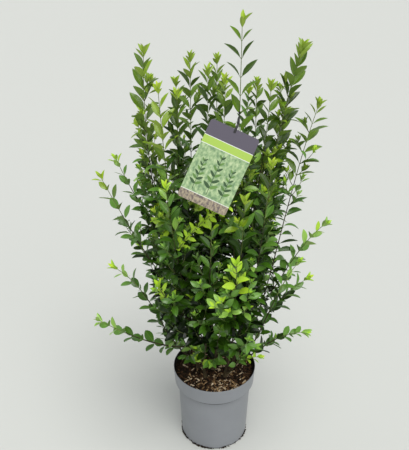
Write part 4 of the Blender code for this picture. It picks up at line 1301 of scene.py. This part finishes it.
def cut_drains(pot):
    """Notches round the foot, cut through the wall and the floor's edge."""
    work = bmesh.new()
    bmesh.ops.create_cube(work, size=1.0)
    size = (DRAIN_DEPTH + DRAIN_OUTSIDE, DRAIN_WIDTH, 2.0 * DRAIN_HEIGHT)
    bmesh.ops.scale(work, vec=size, verts=work.verts)
    bmesh.ops.bevel(work, geom=work.edges, offset=DRAIN_ROUND, segments=3, affect="EDGES", profile=0.5)
    block = bpy.data.meshes.new("drain_cutter")
    work.to_mesh(block)
    work.free()
    cutters = []
    for k in range(DRAINS):
        turn = 360.0 * (k + 0.5) / DRAINS
        cutter = add_object("drain_cutter", block)
        cutter.location = polar(POT_FOOT_RADIUS + (DRAIN_OUTSIDE - DRAIN_DEPTH) / 2.0, turn, 0.0)
        cutter.rotation_euler = (0.0, 0.0, math.radians(turn))
        cut = pot.modifiers.new("drain", "BOOLEAN")
        cut.operation = "DIFFERENCE"
        cut.object = cutter
        cutters.append(cutter)
    bpy.context.view_layer.update()
    made = bpy.data.meshes.new_from_object(pot.evaluated_get(bpy.context.evaluated_depsgraph_get()))
    pot.modifiers.clear()
    pot.data = made
    for cutter in cutters:
        bpy.data.objects.remove(cutter, do_unlink=True)


def make_pot():
    """The pot's shell: grey outside and black inside, with painted shade in a darker grey under its band and
    round its foot, and in black on the faces of its drain notches.
    """
    bead = POT_LIP / 2.0
    foot = (pot_radius(POT_FOOT_ROUND) - POT_FOOT_ROUND, POT_FOOT_ROUND)
    profile = [(POT_FOOT_RADIUS - POT_FOOT_ROUND * 1.1, 0.0), *arc(foot, POT_FOOT_ROUND, -80.0, 0.0, 5)]
    heights = [POT_FOOT_SHADE_HEIGHT * 1.2, *(WALL_TOP * share for share in (0.25, 0.5, 0.75))]
    heights += [WALL_TOP - POT_SHADE_UNDER_BAND, WALL_TOP - 0.002]
    profile += [(pot_radius(height), height) for height in heights]
    profile.append((pot_radius(WALL_TOP) + 0.0006, WALL_TOP + 0.0004))
    profile += arc((POT_BAND_FOOT_RADIUS - POT_FOLD, BAND_FOOT + POT_FOLD), POT_FOLD, -85.0, 0.0, 6)
    for share in (0.3, 0.6, 0.9):
        radius = POT_BAND_FOOT_RADIUS + (POT_RIM_RADIUS - 0.0004 - POT_BAND_FOOT_RADIUS) * share
        profile.append((radius, BAND_FOOT + POT_BAND_HEIGHT * share))
    profile += arc((POT_RIM_RADIUS - POT_LIP * 0.8, POT_HEIGHT - bead), bead, 0.0, 180.0, 8)
    profile += [
        (POT_RIM_RADIUS - POT_WALL, POT_HEIGHT - POT_LIP * 1.6),
        (POT_BAND_FOOT_RADIUS - POT_WALL, BAND_FOOT),
        (pot_radius(WALL_TOP) - POT_WALL, WALL_TOP),
        (pot_radius(POT_FLOOR) - POT_WALL, POT_FLOOR),
    ]
    pile = Pile()
    pile.add_rings(level_rings(profile, POT_SIDES), 0)
    finishes = [finish(name) for name in ("pot_grey", "pot_black", "pot_crease")]
    pot = pile.piece("pot_shell", finishes, POT_SHARP, "pot", "pot")
    cut_drains(pot)
    for face in pot.data.polygons:
        level = math.hypot(face.center.x, face.center.y)
        height = face.center.z
        wall = pot_radius(height) if height < WALL_TOP else POT_BAND_FOOT_RADIUS
        if height > BAND_FOOT:
            wall += (POT_RIM_RADIUS - POT_BAND_FOOT_RADIUS) * (height - BAND_FOOT) / POT_BAND_HEIGHT
        # Painted shade: the faces cut by the drain notches take the black finish, so the shaded notches show
        # dark
        cut = height < DRAIN_HEIGHT * 1.1 and level < wall - 0.0004 and abs(face.normal.z) < 0.9
        inner = level < wall - POT_WALL * 0.55 and height > POT_FLOOR * 0.9
        # Painted shade: a darker grey on the wall under the band's overhang, on the band's rounded foot and
        # along the pot's lowest edge
        fold = WALL_TOP - POT_SHADE_UNDER_BAND < height < BAND_FOOT + POT_FOLD * 0.7 or height < POT_FOOT_SHADE_HEIGHT
        face.material_index = 1 if inner or cut else 2 if fold else 0
    smooth(pot.data, POT_SHARP)


# Compost


def soil_height(x, y):
    """The compost's uneven top: broad mounds, lumps and crumbs."""
    place = Vector((x, y, 0.0))
    broad = noise.noise(place * MOUND_FINENESS + Vector((3.0, 0.0, 0.0)))
    lumps = noise.noise(place * LUMP_FINENESS + Vector((0.0, 7.0, 0.0)))
    crumbs = abs(noise.noise(place * CRUMB_FINENESS))
    return SOIL_TOP + SOIL_RELIEF * (0.45 * broad + 0.40 * lumps + 0.45 * crumbs - SOIL_EVEN)


def make_soil():
    """The compost's top with its relief, and a skirt that runs down inside the pot."""
    skirt = [(POT_WALL_TOP_RADIUS - POT_WALL - 0.001, SOIL_TOP - SOIL_SKIRT * 1.15)]
    skirt.append((SOIL_RIM - 0.002, SOIL_TOP - SOIL_SKIRT * 0.8))
    top = [(SOIL_RIM * i / SOIL_RINGS, 0.0) for i in range(SOIL_RINGS, 0, -1)]
    points = np.concatenate(level_rings(skirt + top, SOIL_SPOKES)).tolist()
    for point in points[2 * SOIL_SPOKES:]:
        point[2] = soil_height(point[0], point[1])
    faces = ring_faces(SOIL_RINGS + 2, SOIL_SPOKES)
    middle = len(points)
    points.append((0.0, 0.0, soil_height(0.0, 0.0)))
    faces[-1:] = [(a, b, middle) for a, b in zip(faces[-1], faces[-1][1:] + faces[-1][:1])]
    pile = Pile()
    pile.add(points, faces, 0)
    pile.piece("compost_top", [finish("compost")], SOIL_SHARP, "compost", "soil")


def chip(rng, place, sizes, tilt):
    """The corners of an uneven six-sided chip of bark or wood."""
    length, width, thick = (rng.uniform(*size) for size in sizes)
    heading = unit(np.array((rng.uniform(-1, 1), rng.uniform(-1, 1), rng.uniform(-tilt, tilt))))
    side = turned(unit(np.cross(UP, heading)), heading, rng.uniform(-CHIP_TURN, CHIP_TURN))
    top = np.cross(heading, side)
    points = []
    for x in (-0.5, 0.5):
        taper = rng.uniform(*CHIP_TAPER)
        for y, z in product((-0.5, 0.5), repeat=2):
            a, b, c = (rng.uniform(*CHIP_SPREAD) for _ in range(3))
            point = place + heading * x * length * a + side * y * width * taper * b
            points.append(point + top * z * thick * c)
    return points


def make_chips():
    """Dark bark crumbs all over, and pale wood chips that lie mostly on the viewer's side."""
    rng = random.Random(CHIP_SEED)
    for name, kinds, count, sizes in CHIPS:
        pile = Pile()
        while len(pile.points) < count:
            x, y, _ = polar(CHIP_RIM * math.sqrt(rng.random()), 360.0 * rng.random(), 0.0)
            aside = (x - PALE_CHIPS_X) / PALE_CHIPS_HALF
            front = (0.5 - 0.5 * y / CHIP_RIM) ** PALE_CHIPS_POWER * math.exp(-(aside ** 2))
            if name == "wood_chips" and rng.random() > front:
                continue
            points = chip(rng, np.array((x, y, soil_height(x, y) + CHIP_RISE)), sizes, CHIP_TILT)
            if max(math.hypot(point[0], point[1]) for point in points) <= CHIP_RIM + CHIP_BEYOND:
                pile.add(points, CHIP_FACES, rng.choice(CHIP_KINDS))
        pile.piece(name, [finish(kind) for kind in kinds], CHIP_SHARP, "compost")


def make_foot_crumbs():
    """Compost washed out of the drain notches, which clings round the pot's foot."""
    rng = random.Random(CRUMB_SEED)
    pile = Pile()
    for _ in range(FOOT_CRUMBS):
        turn = 360.0 * (rng.choice(FOOT_NOTCHES) + 0.5) / DRAINS + rng.gauss(0.0, FOOT_CRUMB_SPREAD)
        height = CHIP_RISE + abs(rng.gauss(0.0, FOOT_CRUMB_RISE))
        place = polar(pot_radius(height) + rng.uniform(*FOOT_CRUMB_REACH), turn, height)
        points = chip(rng, place, FOOT_CRUMB_SIZES, FOOT_CRUMB_TILT)
        pile.add([(x, y, max(z, GAP)) for x, y, z in points], CHIP_FACES, 0)
    pile.piece("foot_crumbs", [finish("washed_compost")], CHIP_SHARP, "compost")


# Hang tag


def tag_print():
    """A plain generic print: a grey-violet band, a lime band, a mottled green field and an earthy strip."""
    made = new_material("tag_print", (150, 175, 140), 0.36, 0.4)
    tree = made.node_tree
    place = add_node(tree, "UVMap", {}, {}, uv_map="card").outputs["UV"]
    height = add_node(tree, "SeparateXYZ", {}, {"Vector": place}).outputs["Y"]
    shown = None
    for low, plain, mottled in PRINT_BANDS:
        colour = {}
        if mottled:
            scale, detail, stops = mottled
            colour = {"B": colour_ramp(tree, mottling(tree, place, scale, detail), stops)}
        if shown is None:
            shown = colour["B"]
            continue
        above = add_node(tree, "Math", {1: low}, {0: height}, operation="GREATER_THAN").outputs["Value"]
        links = {"Factor": above, "A": shown, **colour}
        values = {"B": linear(plain)} if plain else {}
        shown = add_node(tree, "Mix", values, links, data_type="RGBA").outputs["Result"]
    tree.links.new(shown, tree.nodes["Principled BSDF"].inputs["Base Color"])
    return made


def on_card(pile, outline, low, high, numbers):
    """A flat shape on the tag from its outline, between two distances from the middle of the card."""
    flat = [TAG_TOP_CENTRE + TAG_ACROSS * x + TAG_UP * y for x, y in outline]
    pile.add_rings([[point + TAG_OUT * rise for point in flat] for rise in (low, high)], numbers)


def make_card():
    """The card with rounded corners, its print on the front."""
    half = TAG_WIDTH / 2.0 - TAG_CORNER
    top = -TAG_CORNER
    foot = TAG_CORNER - TAG_LENGTH
    corners = ((half, foot, -90.0), (half, top, 0.0), (-half, top, 90.0), (-half, foot, 180.0))
    outline = [point for x, y, first in corners for point in arc((x, y), TAG_CORNER, first, first + 90.0, 8)]
    pile = Pile()
    numbers = [1] * (len(outline) + 1) + [0]
    on_card(pile, outline, -TAG_THICKNESS / 2.0, TAG_THICKNESS / 2.0, numbers)
    finishes = [tag_print(), new_material("tag_card", CARD, 0.4)]
    piece = pile.piece("tag_card", finishes, TAG_SHARP, "tag", "tag")
    layer = piece.data.uv_layers.new(name="card")
    for loop in piece.data.loops:
        offset = np.array(piece.data.vertices[loop.vertex_index].co) - TAG_TOP_CENTRE
        u = 0.5 + float(np.dot(offset, TAG_ACROSS)) / TAG_WIDTH
        layer.data[loop.index].uv = (u, 1.0 + float(np.dot(offset, TAG_UP)) / TAG_LENGTH)


def make_sprigs():
    """The print's motif: three plain sprigs of opposite leaves, in a row, a hair proud of the card."""
    pile = Pile()
    low = TAG_THICKNESS / 2.0 + INK_LOW
    for middle, foot, height, leaf in SPRIGS:
        right, left, top = middle + SPRIG_HALF, middle - SPRIG_HALF, foot + height
        stem = ((right, foot), (right, top), (left, top), (left, foot))
        on_card(pile, stem, low, low + INK_RISE, 0)
        for row in range(SPRIG_ROWS):
            up = row / (SPRIG_ROWS - 1)
            start = foot + height * (SPRIG_FIRST_ROW + SPRIG_ROWS_SHARE * up)
            length = leaf * (1.0 - SPRIG_SHRINK * up)
            turn = math.radians(SPRIG_ANGLE - SPRIG_ANGLE_FALL * up)
            for side in (1.0, -1.0):
                outline = []
                for k in range(SPRIG_POINTS):
                    part = 2.0 * math.pi * k / SPRIG_POINTS * side
                    along = length * (0.5 - 0.5 * math.cos(part))
                    skew = 1.0 + SPRIG_LEAF_SKEW * math.cos(part)
                    beside = length * SPRIG_LEAF_HALF * math.sin(part) * skew
                    x = math.sin(turn) * along + math.cos(turn) * beside + SPRIG_HALF * 0.5
                    y = math.cos(turn) * along - math.sin(turn) * beside
                    outline.append((middle + side * x, start + y))
                on_card(pile, outline, low, low + INK_RISE, (row + (side > 0.0)) % 2)
    pile.piece("tag_sprigs", [finish("ink_dark"), finish("ink_light")], TAG_SHARP, "tag")


def make_strap(shoots):
    """The tag's black strap: a loop round the stem that carries it, and a strip from there to the card."""
    shoot = shoots[STRAP_STEM]
    place = shoot.path.at_height(STRAP_HEIGHT)
    along = float(np.interp(STRAP_HEIGHT, shoot.path.points[:, 2], shoot.path.total))
    heading = shoot.path.at(along)[1]
    inner = shoot.radius(along) + GAP
    outer = inner + STRAP_LOOP_WALL
    across = square_to(heading)
    beside = np.cross(heading, across)
    strap = Pile()
    rings = []
    for radius, rise in ((inner, -0.5), (outer, -0.5), (outer, 0.5), (inner, 0.5)):
        rings.append(ring(place + heading * rise * STRAP_WIDTH, across, beside, radius, STRAP_SIDES))
    strap.add_rings(rings, 0, closed=True)

    top = TAG_TOP_CENTRE
    card_end = top - TAG_UP * STRAP_SUNK + TAG_OUT * TAG_THICKNESS
    toward = unit((card_end - place) * (1.0, 1.0, 0.0))
    start = place + toward * (inner + STRAP_LOOP_WALL / 2.0)
    bend = top + TAG_UP * STRAP_BEND
    middle = (start + bend) / 2.0 + UP * STRAP_ARCH
    knots = np.array([start, middle, bend, top + TAG_OUT * TAG_THICKNESS, card_end])
    shares = np.linspace(0.0, 4.0, STRAP_STEPS + 1)
    line = np.stack([np.interp(shares, range(5), knots[:, k]) for k in range(3)], axis=1)
    for _ in range(3):
        line[1:-1] = (line[:-2] + line[1:-1] * 2.0 + line[2:]) / 4.0
    rings = []
    for i, point in enumerate(line):
        ahead = unit(line[min(i + 1, STRAP_STEPS)] - line[max(i - 1, 0)])
        twist = min(2.0 * i / STRAP_STEPS, 1.0)
        broad = squared(UP * (1.0 - twist) + TAG_ACROSS * twist, ahead) * STRAP_WIDTH / 2.0
        thick = unit(np.cross(ahead, broad)) * STRAP_THICKNESS / 2.0
        rings.append([point + edge for edge in (broad + thick, thick - broad, -broad - thick, broad - thick)])
    strap.add_rings(rings, 0)
    strap.piece("tag_strap", [new_material("strap_black", STRAP_BLACK, 0.35)], TAG_SHARP, "tag")


# Stage


def make_stage():
    """Floor, soft studio light and the camera."""
    floor = bpy.data.meshes.new("stage_floor")
    corners = [(x * FLOOR_HALF, y * FLOOR_HALF, 0.0) for x, y in ((-1, -1), (1, -1), (1, 1), (-1, 1))]
    floor.from_pydata(corners, [], [(0, 1, 2, 3)])
    floor.materials.append(new_material("stage_floor", FLOOR_COLOUR, 0.7, 0.1))
    add_object("stage_floor", floor)

    world = bpy.data.worlds.new("studio")
    world.use_nodes = True
    background = world.node_tree.nodes["Background"]
    background.inputs["Color"].default_value = WORLD_COLOUR
    background.inputs["Strength"].default_value = WORLD_STRENGTH
    bpy.context.scene.world = world

    for name, place, strength, spread, colour in LAMPS:
        lamp = bpy.data.lights.new(name, "SUN")
        lamp.energy = strength
        lamp.angle = math.radians(spread)
        lamp.color = colour
        obj = add_object(name, lamp)
        obj.location = place
        obj.rotation_euler = Vector(place).to_track_quat("Z", "Y").to_euler()

    camera = bpy.data.cameras.new("camera")
    camera.sensor_width = SENSOR_WIDTH
    camera.lens = SENSOR_WIDTH * FOCAL_PIXELS / max(PICTURE_WIDTH, PICTURE_HEIGHT)
    seen = add_object("camera", camera)
    seen.location = CAMERA_PLACE
    seen.rotation_euler = (math.radians(90.0 - CAMERA_PITCH), 0.0, 0.0)
    bpy.context.scene.camera = seen
    bpy.context.scene.view_settings.view_transform = "Standard"


def main():
    barks = [finish(name) for name in ("bark_old", "bark_young", "bark_green")]
    shoots = grow_skeleton()
    make_stage()
    make_pot()
    make_soil()
    make_chips()
    make_foot_crumbs()
    make_wood(shoots, barks)
    make_masses(shoots, barks)
    make_card()
    make_sprigs()
    make_strap(shoots)


main()
